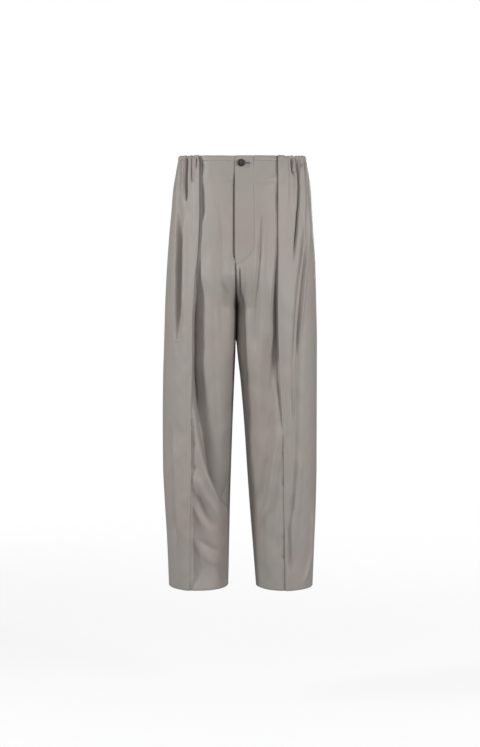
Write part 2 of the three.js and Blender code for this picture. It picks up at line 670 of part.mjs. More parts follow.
// Close stitches round the buttonhole, laid on the left front.
function buttonholeStitching() {
  const rise = CLOTH_FACE + GAP + STITCHING_THICK / 2;
  const middleHeight = form(LEFT, shareAtX(LEFT, BUTTON_X, BUTTON_Z), BUTTON_Z).z;
  const shift = middleHeight - BUTTON_Z;
  const end = SLIT_END + 1.6;
  const start = SLIT_START - 1.6;
  const rows = [0.5, 0, -0.5].map((up) =>
    Array.from({ length: 8 }, (_, j) =>
      flyPoint(start + ((end - start) * j) / 7, BUTTON_Z + up * STITCHING_WIDTH, rise).setZ(
        BUTTON_Z + shift + up * STITCHING_WIDTH,
      ),
    ),
  );
  return sheetGeometry(rows, STITCHING_THICK);
}

const cloth = new THREE.MeshStandardMaterial({ color: "#a09b93", roughness: 0.5, metalness: 0, name: "satin_cloth" });
const horn = new THREE.MeshStandardMaterial({ color: "#3b342f", roughness: 0.35, metalness: 0, name: "dark_horn" });
const thread = new THREE.MeshStandardMaterial({ color: "#8f8a82", roughness: 0.8, metalness: 0, name: "thread" });

const group = new THREE.Group();
function add(name, geometry, material) {
  const mesh = new THREE.Mesh(geometry, material);
  mesh.name = name;
  group.add(mesh);
}

const slit = slitCutter();
add("front_panel_right", frontPanel(RIGHT), cloth);
add("front_panel_left", geometryOf(solidOf(frontPanel(LEFT)).subtract(slit)), cloth);
add("front_band_right", frontBand(RIGHT), cloth);
add("front_band_left", frontBand(LEFT), cloth);
for (const [half, name] of [[RIGHT, "right"], [LEFT, "left"]]) {
  add(`side_panel_${name}`, sidePanel(half), cloth);
  add(`back_panel_${name}`, backPanel(half), cloth);
  add(`side_casing_${name}`, sideCasing(half), cloth);
  add(`back_casing_${name}`, backCasing(half), cloth);
}
add("fly_facing_left", geometryOf(solidOf(flyFacing()).subtract(slit)), cloth);
add("fly_shield_right", flyShield(), cloth);
add("buttonhole_stitching", geometryOf(solidOf(buttonholeStitching()).subtract(slit)), thread);
add("button", button(), horn);
add("button_shank", buttonShank(), thread);

export default group;
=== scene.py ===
import math

import bmesh
import bpy
import numpy as np
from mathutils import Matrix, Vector


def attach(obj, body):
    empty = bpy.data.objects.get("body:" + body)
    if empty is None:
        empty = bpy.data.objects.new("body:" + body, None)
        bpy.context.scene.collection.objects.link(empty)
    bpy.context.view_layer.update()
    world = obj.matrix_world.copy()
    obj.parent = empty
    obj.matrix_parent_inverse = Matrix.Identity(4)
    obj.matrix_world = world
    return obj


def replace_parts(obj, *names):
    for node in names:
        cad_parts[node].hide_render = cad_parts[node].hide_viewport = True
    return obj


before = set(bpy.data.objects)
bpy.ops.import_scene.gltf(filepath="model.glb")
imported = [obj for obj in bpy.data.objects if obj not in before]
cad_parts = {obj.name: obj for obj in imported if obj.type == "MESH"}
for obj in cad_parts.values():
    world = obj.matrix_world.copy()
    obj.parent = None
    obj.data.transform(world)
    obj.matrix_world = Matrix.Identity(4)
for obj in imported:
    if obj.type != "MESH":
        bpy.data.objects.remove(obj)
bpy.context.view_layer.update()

bl_info = {
    "name": "Pleated trousers",
    "version": (1, 0, 0),
    "blender": (4, 5, 0),
    "location": "View3D > Sidebar > Trousers",
    "description": "Builds wide-leg pleated trousers with a gathered waist over their CAD frame",
    "category": "Add Mesh",
}

# Shape tables are in millimetres in the frame of the CAD part: +Z is up, the front faces -Y and the wearer's
# right leg is at -X. Meshes are made in metres.
MM = 0.001
RIGHT = -1
LEFT = 1
SIDE_NAMES = {RIGHT: "right", LEFT: "left"}

# The centre seams, and the share of a half's girth at the side seam.
CENTRE_X = -13.5
SIDE_SHARE = 0.5

# Steps of the searches along the worn shape, and of its normals.
HALVINGS = 26
END_HALVINGS = 22
NORMAL_STEP = 0.002
TINY = 1e-9  # keeps a division by a length from failing

# Cloth.
WALL = 1.0
BAND_WALL = 1.9
SEAM_TURN = 3.4  # how deep a panel's edge turns in at a seam
SEAM_WIDTH = 1.9
SIDE_SEAM = (1.5, 1.3)  # the same at the side seams and at the centre back
INSEAM_TURN = 0.8
SEAM_GAP = 0.1  # half the distance between two panels at a seam
EDGE_ROUND = 0.4  # how far a sheet's edge is rounded out, as a share of its wall
TUCK_IN = 1.89  # how far a panel's top edge is moved in behind the band
# Sheets on each half: the solid that each stands for, its wall, how it is held and what it hangs from.
SHEETS = {
    "front": ("front_panel", WALL, "hung", "front_band"),
    "front_band": ("front_band", BAND_WALL, "folded", "front"),
    "side": ("side_panel", WALL, "gathered", "side_casing"),
    "side_casing": ("side_casing", BAND_WALL, "gathered", "side"),
    "back": ("back_panel", WALL, "gathered", "back_casing"),
    "back_casing": ("back_casing", BAND_WALL, "gathered", "back"),
}
# Slow waves of the cloth: height, waves round the girth and per mm of height, and phase.
WAVES = [
    (0.32, 3.1, 0.0110, 0.4),
    (0.26, 5.3, -0.0070, 2.1),
    (0.20, 8.7, 0.0175, 4.0),
    (0.14, 14.0, -0.0230, 1.2),
]

# Heights.
HEM = -1025.0
BAND_HEIGHT = 12.0
BAND_TUCK = 7.0  # a panel's top edge runs up this far behind the band
FRONT_DIP = 5.5
BACK_RISE = 6.0
DIP_FADE = 80.0

# Crotch.
CURVE_TOP = -275.0
CROTCH = -360.0
SPLIT_TOP = -215.0
SPLIT_FOOT = -400.0
SPLIT_FULLNESS = 0.27
CURVE_POWER = 1.35  # 0.5 is a quarter circle, more is softer at the foot
# Under the crotch the insides of the legs lie against each other in a shallow S.
LEAN_FRONT = 1.2
LEAN_BACK = -5.5
LEAN_REACH = 40.0
LEAN_DEPTH = 45.0
LEAN_HEIGHTS = (-290, -350, -400, -458)

# Fly.
FLY_FOOT = -260.0
FLY_FADE = 24.0
FLY_STEP = 1.8
FLY_PAST = {LEFT: 0.003, RIGHT: 0.015}
FLY_LEVEL = {LEFT: 0.1, RIGHT: 0.02}
FLY_SLOPE = 0.07
J_SHARE = 0.427
# How far each front stands off along the fly edge, the x where it does so most, and the half width.
FLY_BILLOW = {LEFT: (1.4, -15, 9), RIGHT: (-4.2, -16, 3.2)}
BILLOW_HEIGHTS = (-28, -80, FLY_FOOT + 34, FLY_FOOT + 4)
# The J-shaped stitch line on the left front, as heights and x, and the groove that it draws.
J_LINE = [
    (-4, 27.3), (-214, 27.3), (-224, 25.4), (-235, 20.2),
    (-243, 12.2), (-252, 3.0), (-257, -5.0), (-259, -11.0),
]
J_GROOVE = 2.0
J_WIDTH = 1.3
GROOVE_FOOT = FLY_FOOT - 6
# The facing and the shield behind the fly.
LAYERS_TOP = -0.6
LAYERS_FOOT = -240
FACING_WIDTH = 41
FACING_CURVE_TOP = -190
FACING_CURVE = 54
SHIELD_FIRST = -28.3
SHIELD_WIDTH = 42
SHIELD_LEVEL = -4.2

# Button.
BUTTON_X = -1.4
BUTTON_Z = -19.1
BUTTON_HEIGHT = -23.3  # where the dip of the front edge takes it
BUTTON_CLEAR = 0.6  # from the middle of the left front to just off its outer face
RIM_WIDTH = 2.2
RIM_ROUND = 0.55
DISH_STEPS = [(0.9, 1.0), (1.8, 0.25)]  # how far in and how far down each step of the dish goes
DISH_DEPTH = 1.15
HOLE_PLACE = 2.0  # from the middle to a hole, across and up
HOLE_RADIUS = 0.92
BAR_RISE = 0.25
BAR_STRANDS = (-0.45, 0, 0.45)
SHANK_RISE = 1.6
SHANK_TURNS = 7
SHANK_SPACING = 1.15
SHANK_INWARDS = 0.62  # the strands under the holes stand this share of the way out from the middle
SHANK_SLOPE = 0.12

# Buttonhole, from the slit's start to its end, and stitches.
SLIT = (-3.6, 18.2)
EDGE_OUT = 1.05
EDGE_SPACING = 0.62
STITCH_SPACING = 2.9
STITCH_LENGTH = 2.3
STITCH_THICK = 0.5
# Stitch lines: name, half, line as heights and x, and how far out of the front's face they lie.
STITCH_LINES = [
    ("stitches_fly", LEFT, J_LINE, 0.1),
    ("stitches_band_right", RIGHT, [(-10.4, -16), (-10.4, -96)], 0.75),
    ("stitches_band_left", LEFT, [(-10.4, 29), (-10.4, 81)], 0.75),
]

# Sections of the worn shape: height, x of the widest point and of the inseam of each half, half depth at the
# front and back, and how round the inside and the outside of the leg are.
SECTION_COLUMNS = ("z", "outRight", "outLeft", "inRight", "inLeft", "front", "back", "inside", "outside")
SECTIONS = [
    (0, -148, 150, -13.6, -13.4, 100, 100, 0.5, 0.74),
    (-34, -155, 158, -13.6, -13.4, 107, 109, 0.5, 0.74),
    (-82, -163, 164, -13.6, -13.4, 115, 118, 0.5, 0.74),
    (-130, -167, 167, -13.6, -13.4, 120, 127, 0.5, 0.74),
    (-190, -172.5, 170.5, -13.6, -13.4, 123, 134, 0.5, 0.74),
    (-250, -177, 174.5, -13.6, -13.4, 123, 135, 0.5, 0.74),
    (-345, -182, 177, -13.8, -13.2, 121, 131, 0.44, 0.76),
    (-440, -185, 179, -14.9, -11.9, 119, 122, 0.46, 0.78),
    (-540, -188, 179, -18.8, -2, 116, 116, 0.62, 0.8),
    (-640, -189, 179, -22.8, 6.4, 112, 112, 0.7, 0.84),
    (-735, -188.5, 179, -26, 12.6, 108, 109, 0.78, 0.88),
    (-825, -184.5, 177.5, -28.8, 18.8, 105, 106, 0.85, 0.92),
    (-920, -179, 174, -30.8, 26.3, 101, 103, 0.92, 0.96),
    (-1025, -175, 170, -33, 34.5, 98, 100, 1, 1),
]

# The folded edge of each pleat: height, x on the right and left front, how far it stands out, how far the
# side panel is turned under, how thick the fold is, and how deep and how wide the front is drawn in there.
PLEAT_COLUMNS = (
    "z", "right", "left", "stand", "turned", "loop", "drawnRight", "spreadRight", "drawnLeft", "spreadLeft",
)
PLEATS = [
    (0, -99.2, 83.9, 4.6, 22, 3.2, 2, 10, 1.4, 6),
    (-22, -98.2, 83.9, 5.0, 22, 3.2, 6, 18, 2.6, 7),
    (-40, -98.2, 83.9, 4.8, 22, 3.2, 4.4, 20, 2.6, 7),
    (-58, -98.2, 83.9, 4.4, 22, 3.2, 3.6, 22, 1.0, 5),
    (-78, -98.2, 83.9, 4.4, 22, 3.2, 5, 26, 2.0, 6),
    (-110, -98.2, 83.9, 4.2, 22, 3.2, 8, 32, 2.4, 6),
    (-128, -98.3, 83.9, 3.8, 22, 3.0, 8.4, 35, 2.4, 6),
    (-148, -98.6, 83.9, 3.2, 21, 2.2, 6, 35, 2.0, 5),
    (-170, -99.2, 83.9, 2.8, 21, 1.5, 3.4, 32, 1.6, 4),
    (-220, -101.6, 83.9, 2.8, 19, 1.5, 3, 28, 2.4, 5),
    (-252, -104.6, 83.9, 3.2, 18, 1.8, 5, 27, 4, 7),
    (-290, -108.8, 83.9, 4.2, 17, 2.2, 11, 29, 8, 10),
    (-330, -111.6, 84, 5.2, 16, 2.6, 20, 37, 14, 14),
    (-390, -114.7, 84.5, 5.6, 14, 2.6, 25, 37, 17, 17),
    (-450, -115.2, 86, 4.6, 13, 2.4, 26, 37, 15, 18),
    (-506, -116, 88.2, 3.8, 12, 2.2, 23, 35, 10, 16),
    (-560, -117.6, 91, 3.2, 11, 1.8, 16, 31, 5, 12),
    (-609, -119, 93.8, 2.6, 10, 1.5, 9, 24, 2, 9),
    (-660, -118.5, 95.8, 2.3, 9, 1.3, 4, 16, 0.6, 5),
    (-720, -118, 98, 2.1, 8, 1.2, 1.6, 10, 0.4, 5),
    (-780, -119.5, 99, 2.0, 8, 1.2, 1.2, 7, 0.4, 5),
    (-849, -121.8, 100, 2.0, 8, 1.2, 0.4, 5, 0.5, 5),
    (-930, -122.5, 101.8, 2.1, 8, 1.3, 0.5, 5, 1.2, 7),
    (-1025, -123.2, 103.4, 2.2, 8, 1.4, 0.6, 5, 1.6, 7),
]
PLEAT_SPREAD = 26.0
SEAT_SPREAD = 40.0
DRAWN_FLAT = 4.0
DRAWN_BEND = 1.3  # the drawn-in part is a nearly even slope that rounds out away from the pleat
SEWN_SHARE = 0.8
LAYER = 1.2
OUTLINE_CALM = 5.0  # folds die out this close to the side outline
SIDE_PUCKERS = 0.6  # depth of the puckers on a side panel against those on a front

# Rows down the band and down a casing: height, and how far the cloth puffs out there.
BAND_STAND = 0.8
BAND_PUFF = 0.8
BAND_END = 1.7  # the band runs on under the pleat up to this column
BAND_ROWS = [
    (0, -1.2), (-0.6, -0.35), (-1.4, 0), (-3, 0.25), (-5, 0.35),
    (-7, 0.35), (-9, 0.2), (-10.4, 0), (-11.3, -0.25), (-12.0, -0.9),
]
CASING_ROWS = [
    (0, -1.1), (-0.5, -0.2), (-1.2, 0.4), (-2.4, 0.9), (-4, 1.2), (-6, 1.3),
    (-8, 1.15), (-9.6, 0.8), (-10.8, 0.3), (-11.6, -0.3), (-12.2, -1.2),
]
CASING_GAP = 0.0004
# Fine puckers on the elastic: how many, and the seed of their random sizes.
SIDE_RUFFLE = (9, 21)
BACK_RUFFLE = (18, 40)
RUFFLE_DIP = 0.8

# Folds: half, rise (a trough is negative), half widths towards the centre and the side, lengths over which
# the upper and lower ends fade, and the path as heights and x.
FRONT_FOLDS = [
    # right leg, from the pleat across the thigh
    (RIGHT, -28.0, 24, 9, 110, 120, [
        (-470, -114), (-536, -108), (-590, -103), (-647, -95), (-680, -87), (-718, -77),
        (-756, -64), (-789, -48), (-870, -16),
    ]),
    (RIGHT, -7.0, 10, 7, 70, 50, [
        (-620, -90), (-680, -78), (-718, -69), (-756, -57), (-800, -38), (-850, -20),
    ]),
    (RIGHT, 2.2, 12, 10, 60, 40, [(-650, -112), (-700, -98), (-760, -78), (-830, -44)]),
    (RIGHT, 3.6, 9, 9, 30, 40, [(-738, -116), (-795, -90), (-839, -58), (-885, -36)]),
    (RIGHT, -4.0, 9, 9, 20, 30, [(-790, -112), (-840, -84), (-885, -54)]),
    (RIGHT, 4.6, 13, 14, 90, 90, [(-180, -68), (-400, -66), (-530, -62), (-660, -50)]),
    (RIGHT, -3.4, 11, 10, 60, 90, [(-130, -47), (-220, -45), (-300, -46), (-460, -44)]),
    (RIGHT, 3.0, 8, 8, 80, 80, [(-200, -30), (-330, -27), (-520, -28)]),
    (RIGHT, 2.6, 9, 8, 22, 26, [(-790, -128), (-821, -119), (-849, -103), (-880, -86)]),
    (RIGHT, -2.8, 10, 10, 24, 26, [(-800, -108), (-850, -86), (-890, -60)]),
    (RIGHT, 2.8, 13, 11, 22, 24, [(-880, -128), (-925, -102), (-957, -72), (-975, -52)]),
    (RIGHT, -3.6, 13, 13, 18, 20, [(-900, -100), (-924, -72), (-948, -36)]),
    (RIGHT, -5.0, 10, 10, 20, 12, [(-960, -54), (-990, -40), (-1020, -36)]),
    (RIGHT, -12.5, 62, 8, 90, 70, [(-760, -114), (-900, -116), (-1040, -114)]),
    (RIGHT, -3.0, 12, 12, 30, 60, [(-640, -30), (-700, -34), (-800, -36)]),
    (RIGHT, 2.5, 16, 14, 50, 60, [(-640, -150), (-760, -143), (-900, -138)]),
    # right side, below the gathers
    (RIGHT, -17.0, 8, 4.0, 120, 150, [(-95, -148), (-200, -150), (-350, -151), (-480, -150)]),
    (RIGHT, 4.0, 9, 5, 50, 90, [(-130, -134), (-250, -134), (-400, -137)]),
    (RIGHT, -10.0, 3.2, 9, 80, 70, [(-620, -168), (-700, -167), (-790, -162), (-940, -156)]),
    (RIGHT, 4.0, 8, 6, 60, 60, [(-640, -163), (-790, -154), (-920, -148)]),
    (RIGHT, -2.0, 3.5, 4, 60, 60, [(-190, -165), (-260, -170), (-350, -175)]),
    # left leg, from the pleat down inside the knee
    (LEFT, -13.0, 18, 15, 90, 170, [
        (-400, 74), (-437, 70), (-508, 66), (-562, 63), (-640, 60), (-720, 57),
    ]),
    (LEFT, -6.0, 13, 12, 90, 60, [(-560, 66), (-640, 61), (-740, 54), (-850, 38)]),
    (LEFT, 7.0, 9, 8, 40, 60, [(-620, 94), (-654, 89), (-722, 76), (-818, 63), (-890, 38)]),
    (LEFT, 4.4, 12, 12, 60, 80, [(-160, 60), (-400, 50), (-520, 42), (-640, 38)]),
    (LEFT, -5.0, 8, 8, 60, 80, [(-130, 45), (-220, 43), (-330, 34), (-480, 28)]),
    (LEFT, 3.0, 8, 8, 60, 80, [(-290, 20), (-400, 18), (-520, 20)]),
    (LEFT, -3.6, 9, 8, 50, 60, [(-760, 88), (-850, 82), (-960, 76)]),
    (LEFT, 3.0, 10, 8, 50, 60, [(-800, 62), (-900, 60), (-1000, 58)]),
    (LEFT, -1.8, 7, 8, 40, 60, [(-190, 46), (-280, 37), (-370, 26)]),
    (LEFT, -1.0, 3, 3, 14, 20, [(-262, 9), (-340, 9)]),
    (LEFT, -10.0, 10, 3.0, 50, 100, [(-318, -2), (-380, 4), (-440, 6), (-560, 12)]),
    (LEFT, 1.2, 3.0, 3.0, 12, 26, [(-262, -9), (-300, -9), (-352, -8)]),
    (LEFT, -6.0, 2.0, 1.8, 14, 20, [(-262, -4.6), (-300, -4.4), (-356, -4)]),
    # left side
    (LEFT, -5.5, 9, 8, 190, 50, [
        (-290, 140), (-392, 133.5), (-467, 131), (-542, 128), (-614, 126), (-767, 121), (-850, 114),
    ]),
    (LEFT, -4.5, 5, 7, 50, 50, [(-780, 119), (-832, 115), (-880, 110), (-955, 111), (-1000, 113)]),
    (LEFT, 3.6, 9, 7, 40, 60, [(-700, 136), (-800, 131), (-900, 124), (-960, 128)]),
    (LEFT, 5.0, 4, 5, 50, 30, [(-820, 168), (-934, 165), (-990, 153), (-1020, 141)]),
    (LEFT, 8.0, 3.0, 4.0, 90, 110, [
        (-130, 148), (-198, 142), (-260, 136), (-313, 130), (-414, 123), (-515, 120), (-660, 122),
    ]),
    (LEFT, 5.5, 2.8, 3.2, 60, 80, [(-110, 157), (-205, 154), (-306, 145), (-400, 138), (-480, 134)]),
    (LEFT, -4.0, 3.2, 3.4, 90, 80, [(-170, 148.5), (-260, 142), (-313, 137), (-400, 130.5), (-500, 127)]),
]

BACK_FOLDS = [
    (RIGHT, -6.0, 13, 12, 60, 90, [(-250, -62), (-400, -76), (-560, -92), (-720, -84)]),
    (RIGHT, 3.0, 13, 12, 60, 90, [(-330, -98), (-520, -118), (-700, -112)]),
    (RIGHT, -4.5, 9, 12, 60, 60, [(-330, -32), (-400, -44), (-500, -48)]),
    (RIGHT, -3.5, 11, 10, 60, 60, [(-640, -132), (-780, -118), (-940, -122)]),
    (RIGHT, 3.0, 12, 12, 60, 40, [(-820, -120), (-880, -96), (-950, -58)]),
    (RIGHT, -2.4, 11, 12, 50, 40, [(-900, -112), (-950, -86), (-1000, -70)]),
    (LEFT, -5.0, 12, 11, 60, 90, [(-270, 44), (-400, 58), (-560, 72), (-740, 70)]),
    (LEFT, 3.4, 12, 12, 60, 90, [(-330, 84), (-520, 98), (-720, 92)]),
    (LEFT, -4.5, 9, 12, 60, 60, [(-330, 8), (-400, 16), (-520, 24)]),
    (LEFT, -3.5, 10, 10, 60, 60, [(-600, 126), (-760, 122), (-930, 112)]),
    (LEFT, 3.8, 12, 10, 30, 30, [(-780, 128), (-850, 104), (-930, 62)]),
    (LEFT, -3.0, 9, 10, 24, 20, [(-890, 122), (-940, 96), (-995, 84)]),
]

# Gathers that run down from the casing over a front side panel: half, rise, half widths, fades, path.
SIDE_GATHERS = [
    (RIGHT, -8.0, 1.7, 1.8, 3, 16, [(-5, -103), (-20, -103.4), (-36, -104)]),
    (RIGHT, 2.6, 3, 3, 3, 30, [(-5, -108), (-40, -108.5), (-80, -109)]),
    (RIGHT, -17.0, 1.9, 1.8, 3, 26, [(-5, -112.6), (-40, -113), (-68, -113.8)]),
    (RIGHT, 4.0, 4, 3.4, 3, 60, [(-5, -120), (-60, -121), (-120, -122)]),
    (RIGHT, -21.0, 2.0, 1.8, 3, 36, [(-5, -127.4), (-50, -128.6), (-90, -129.2), (-116, -129.8)]),
    (RIGHT, 4.0, 3.2, 3.0, 3, 60, [(-5, -135.5), (-60, -137), (-130, -139)]),
    (RIGHT, -5.0, 2.2, 2.2, 3, 60, [(-5, -140), (-60, -143.5), (-115, -148)]),
    (RIGHT, 2.6, 2, 2, 3, 60, [(-5, -144), (-60, -150), (-140, -157)]),
    (LEFT, 3.0, 9, 5, 3, 70, [(-5, 103), (-60, 105), (-140, 104)]),
    (LEFT, -10.0, 1.8, 1.6, 3, 22, [(-5, 115.7), (-30, 117), (-54, 121)]),
    (LEFT, 3.0, 3, 2.4, 3, 20, [(-5, 121), (-40, 122)]),
    (LEFT, -7.0, 1.6, 1.6, 3, 14, [(-5, 126), (-24, 126.5), (-38, 128)]),
    (LEFT, 3.4, 5, 4, 10, 60, [(-34, 124), (-80, 125), (-150, 122)]),
    (LEFT, -19.0, 2.3, 2.3, 8, 100, [
        (-8, 132), (-70, 133.2), (-110, 133), (-145, 130), (-200, 125.6), (-262, 118),
    ]),
    (LEFT, -5.5, 1.5, 1.5, 3, 14, [(-5, 136.5), (-32, 137.5)]),
    (LEFT, 4.0, 3.4, 3, 6, 60, [(-20, 141), (-80, 145), (-180, 146)]),
    (LEFT, -11.0, 1.7, 1.8, 3, 40, [(-5, 148.2), (-60, 150.5), (-116, 153.5)]),
]

# Small puckers beside the long seams: half, x, height, depth, half width across and down.
PUCKERS = [
    (RIGHT, -112, -680, 2.2, 9, 4),
    (RIGHT, -113, -734, 2.4, 10, 4.5),
    (RIGHT, -115, -640, 1.2, 7, 4),
    (RIGHT, -118, -786, 1.4, 8, 5),
    (RIGHT, -111, -430, 1.4, 7, 6),
    (RIGHT, -120, -875, 1.3, 8, 5),
    (LEFT, 94, -560, 1.3, 8, 5),
    (LEFT, 100, -700, 1.4, 9, 5),
    (LEFT, 101, -770, 1.3, 8, 4),
    (LEFT, 103, -900, 1.5, 9, 5),
    (LEFT, 97, -948, 1.6, 9, 5),
]

# Short creases in any direction: half, height, half width, and the line as heights and x.
CREASES = [
    (LEFT, 0.8, 2.8, [(-56.7, 29), (-61.4, 47), (-57, 66), (-54, 78)]),
    (LEFT, -0.5, 3.2, [(-63, 34), (-66.5, 52), (-64, 74)]),
    (LEFT, 0.6, 3.0, [(-71, 33), (-73, 56), (-70, 72)]),
    (RIGHT, -1.0, 2.4, [(-57, -22), (-60, -40)]),
    (RIGHT, 1.0, 3.0, [(-66, -20), (-72, -44)]),
    (LEFT, -1.0, 3.0, [(-150, 44), (-196, 39), (-240, 41)]),
    (RIGHT, -1.0, 3.4, [(-120, -52), (-190, -46), (-240, -50)]),
    (RIGHT, 1.2, 3.5, [(-300, -118), (-312, -124), (-318, -130)]),
    (RIGHT, 1.4, 6.0, [(-496, -128), (-515, -136), (-528, -142)]),
]

BACK_GATHERS = 11  # ridges on each half of the back
GATHER_SEED = 7

# Rows down a panel: the height at which each spacing ends, and the spacing.
ROW_STEPS = [(-70, 1.7), (-290, 3.2), (-420, 3.6), (HEM, 4.6)]
SIDE_COLUMNS = 128
GATHER_CLOSENESS = 0.35  # how much closer together the columns lie under the gathers
FRONT_COLUMNS = 84
FRONT_CLOSENESS = 0.18
NEAR_CENTRE = [0.003, 0.006, 0.0095]
UNDER_PLEAT = [1.12, 1.3, 1.55, 1.8, 1.95]
BACK_COLUMNS = 112
NEAR_SEAMS = [0.004, 0.992, 0.995, 0.998]

# Stage, in metres.
FLOOR_RADIUS = 4.0
FLOOR_FADE = (0.4, FLOOR_RADIUS * 0.96)
FLOOR_COVER = 0.24
CAMERA_X = -0.0043
CAMERA_HEIGHT = -0.2946
AIM_HEIGHT = -0.5176
LENS = 84.6
SENSOR = 36.0
# Lights: name, place, target, size and share of the key light's power.
LIGHTS = [
    ("key_light", (2.2, -2.2, 0.25), (0, 0, -0.35), (0.7, 1.0), 1.0),
    ("front_light", (-0.9, -2.7, -0.05), (0, 0, -0.4), (1.1, 1.1), 0.38),
    ("left_strip", (-2.4, -0.9, 0.45), (0, 0, -0.3), (0.4, 1.6), 0.8),
    ("right_strip", (2.6, -0.6, 0.0), (0, 0, -0.4), (0.4, 2.0), 0.2),
    ("back_light", (0.9, 3.2, 0.5), (0, 0, -0.4), (1.2, 1.2), 0.7),
]


# ---------------------------------------------------------------- worn shape

def table_at(table, columns, name, z):
    """Value of a column at heights z, on a smooth curve that never runs past the rows."""
    column = columns.index(name)
    depth = np.array([-row[0] for row in table], dtype=float)
    value = np.array([row[column] for row in table], dtype=float)
    return smooth_curve(depth, value, -np.asarray(z, dtype=float))


def smooth_curve(at, value, x):
    """A curve through the values, whose slope at each is the harmonic mean of the slopes beside it."""
    step = np.diff(at)
    secant = np.diff(value) / step
    slope = np.empty_like(value)
    slope[0], slope[-1] = secant[0], secant[-1]
    above, below = secant[:-1], secant[1:]
    total = np.where(above + below == 0, 1, above + below)
    slope[1:-1] = np.where(above * below > 0, 2 * above * below / total, 0)
    x = np.clip(x, at[0], at[-1])
    i = np.clip(np.searchsorted(at, x, side="right") - 1, 0, len(step) - 1)
    s = (x - at[i]) / step[i]
    s2, s3 = s * s, s * s * s
    start, end = slope[i] * step[i], slope[i + 1] * step[i]
    upper = (2 * s3 - 3 * s2 + 1) * value[i] + (s3 - 2 * s2 + s) * start
    return upper + (3 * s2 - 2 * s3) * value[i + 1] + (s3 - s2) * end


def ease(start, end, value):
    """0 before start and 1 after end, with a smooth step between them."""
    share = np.clip((np.asarray(value, dtype=float) - start) / (end - start), 0, 1)
    return share * share * (3 - 2 * share)


def section_at(name, z):
    return table_at(SECTIONS, SECTION_COLUMNS, name, z)


def section(half, z):
    """x of the widest point and of the inseam of a half."""
    side = SIDE_NAMES[half].capitalize()
    return section_at("out" + side, z), section_at("in" + side, z)


def form(half, share, z):
    """Points of the worn shape. share runs round one half from the centre front to the centre back."""
    share, z = np.broadcast_arrays(np.asarray(share, dtype=float), np.asarray(z, dtype=float))
    within = np.where(share > 1, 2 - share, np.abs(share))
    own = half_form(half, within, z)
    beyond = (share < 0) | (share > 1)
    if not beyond.any():
        return own
    return np.where(beyond[..., None], half_form(-half, within, z), own)


def half_form(half, share, z):
    """Points of one half: a round body at the waist that turns into a leg below the crotch."""
    outer, inner = section(half, z)
    is_front = share <= SIDE_SHARE
    is_inside = (share < 0.25) | (share > 0.75)
    depth = np.where(is_front, section_at("front", z), section_at("back", z))
    width = np.abs(outer)
    seam_angle = np.arcsin(inner / width)
    side_angle = half * math.pi / 2
    body_angle = np.where(
        is_front,
        seam_angle + (side_angle - seam_angle) * share * 2,
        side_angle + (side_angle - seam_angle) * (share * 2 - 1),
    )
    leg_angle = share * 2 * math.pi
    leg_radius = np.abs(outer - inner) / 2
    split = ease(SPLIT_TOP, SPLIT_FOOT, z)
    leg_x = (outer + inner) / 2 - half * leg_radius * np.cos(leg_angle)
    x = (1 - split) * width * np.sin(body_angle) + split * leg_x
    outside = section_at("outside", z)
    leg = np.where(is_inside, section_at("inside", z), outside)
    fullness = 1 + SPLIT_FULLNESS * split * (1 - split)
    body_depth = rounded(np.cos(body_angle), outside)
    y = -depth * fullness * ((1 - split) * body_depth + split * rounded(np.sin(leg_angle), leg))
    pull = np.where(is_inside, 1 - rounded(np.abs(np.sin(leg_angle)), leg), 0)
    y = y + seam_draw(share, z, depth * np.cos(seam_angle), (1 - split) * fullness) * pull
    return np.stack([x + lean(x, y, z), y, z + top_shift(body_angle, z)], axis=-1)


def rounded(value, power):
    """A cosine or sine whose curve is squarer the lower its power is."""
    return np.sign(value) * np.abs(value) ** power


def seam_draw(share, z, depth, unmoved_share):
    """How far a centre seam moves towards the middle so that it follows the crotch curve."""
    down = np.clip((CURVE_TOP - z) / (CURVE_TOP - CROTCH), 0, 1)
    moved = unmoved_share - (1 - down * down) ** CURVE_POWER
    return depth * moved * np.where(share <= SIDE_SHARE, 1, -1)


def lean(x, y, z):
    """How far the insides of the legs lean over each other, in x."""
    top, full, fade, foot = LEAN_HEIGHTS
    near = np.exp(-(((x - CENTRE_X) / LEAN_REACH) ** 2)) * ease(top, full, z) * ease(foot, fade, z)
    return (LEAN_FRONT + (LEAN_BACK - LEAN_FRONT) * ease(-LEAN_DEPTH, 0, y)) * near


def top_shift(body_angle, z):
    """How far the waist dips at the front and rises at the back."""
    towards_front = np.cos(body_angle)
    shift = np.where(towards_front > 0, -FRONT_DIP * towards_front, -BACK_RISE * towards_front)
    return shift * np.clip(1 + z / DIP_FADE, 0, 1)


def form_normal(half, share, z):
    """Unit normals of the worn shape, outwards."""
    share, z = np.broadcast_arrays(np.asarray(share, dtype=float), np.asarray(z, dtype=float))
    low = np.where((z < CROTCH) & (share >= 0), np.maximum(share - NORMAL_STEP, 0), share - NORMAL_STEP)
    high = np.where(z < CROTCH, np.minimum(share + NORMAL_STEP, 1), share + NORMAL_STEP)
    across = form(half, high, z) - form(half, low, z)
    level = np.clip(z, HEM + 1, -1)
    down = form(half, share, level - 1) - form(half, share, level + 1)
    normal = np.cross(down, across) * half
    return normal / np.linalg.norm(normal, axis=-1, keepdims=True)


def raised(half, share, z, distance):
    """Points that stand a distance off the worn shape."""
    return form(half, share, z) + form_normal(half, share, z) * np.asarray(distance)[..., None]


def share_at_x(half, x, z):
    """The share of a half's girth whose front point has the given x."""
    x, z = np.broadcast_arrays(np.asarray(x, dtype=float), np.asarray(z, dtype=float))
    low, high = np.zeros(x.shape), np.full(x.shape, SIDE_SHARE)
    for _ in range(HALVINGS):
        middle = (low + high) / 2
        before = half * (form(half, middle, z)[..., 0] - x) < 0
        low, high = np.where(before, middle, low), np.where(before, high, middle)
    return (low + high) / 2


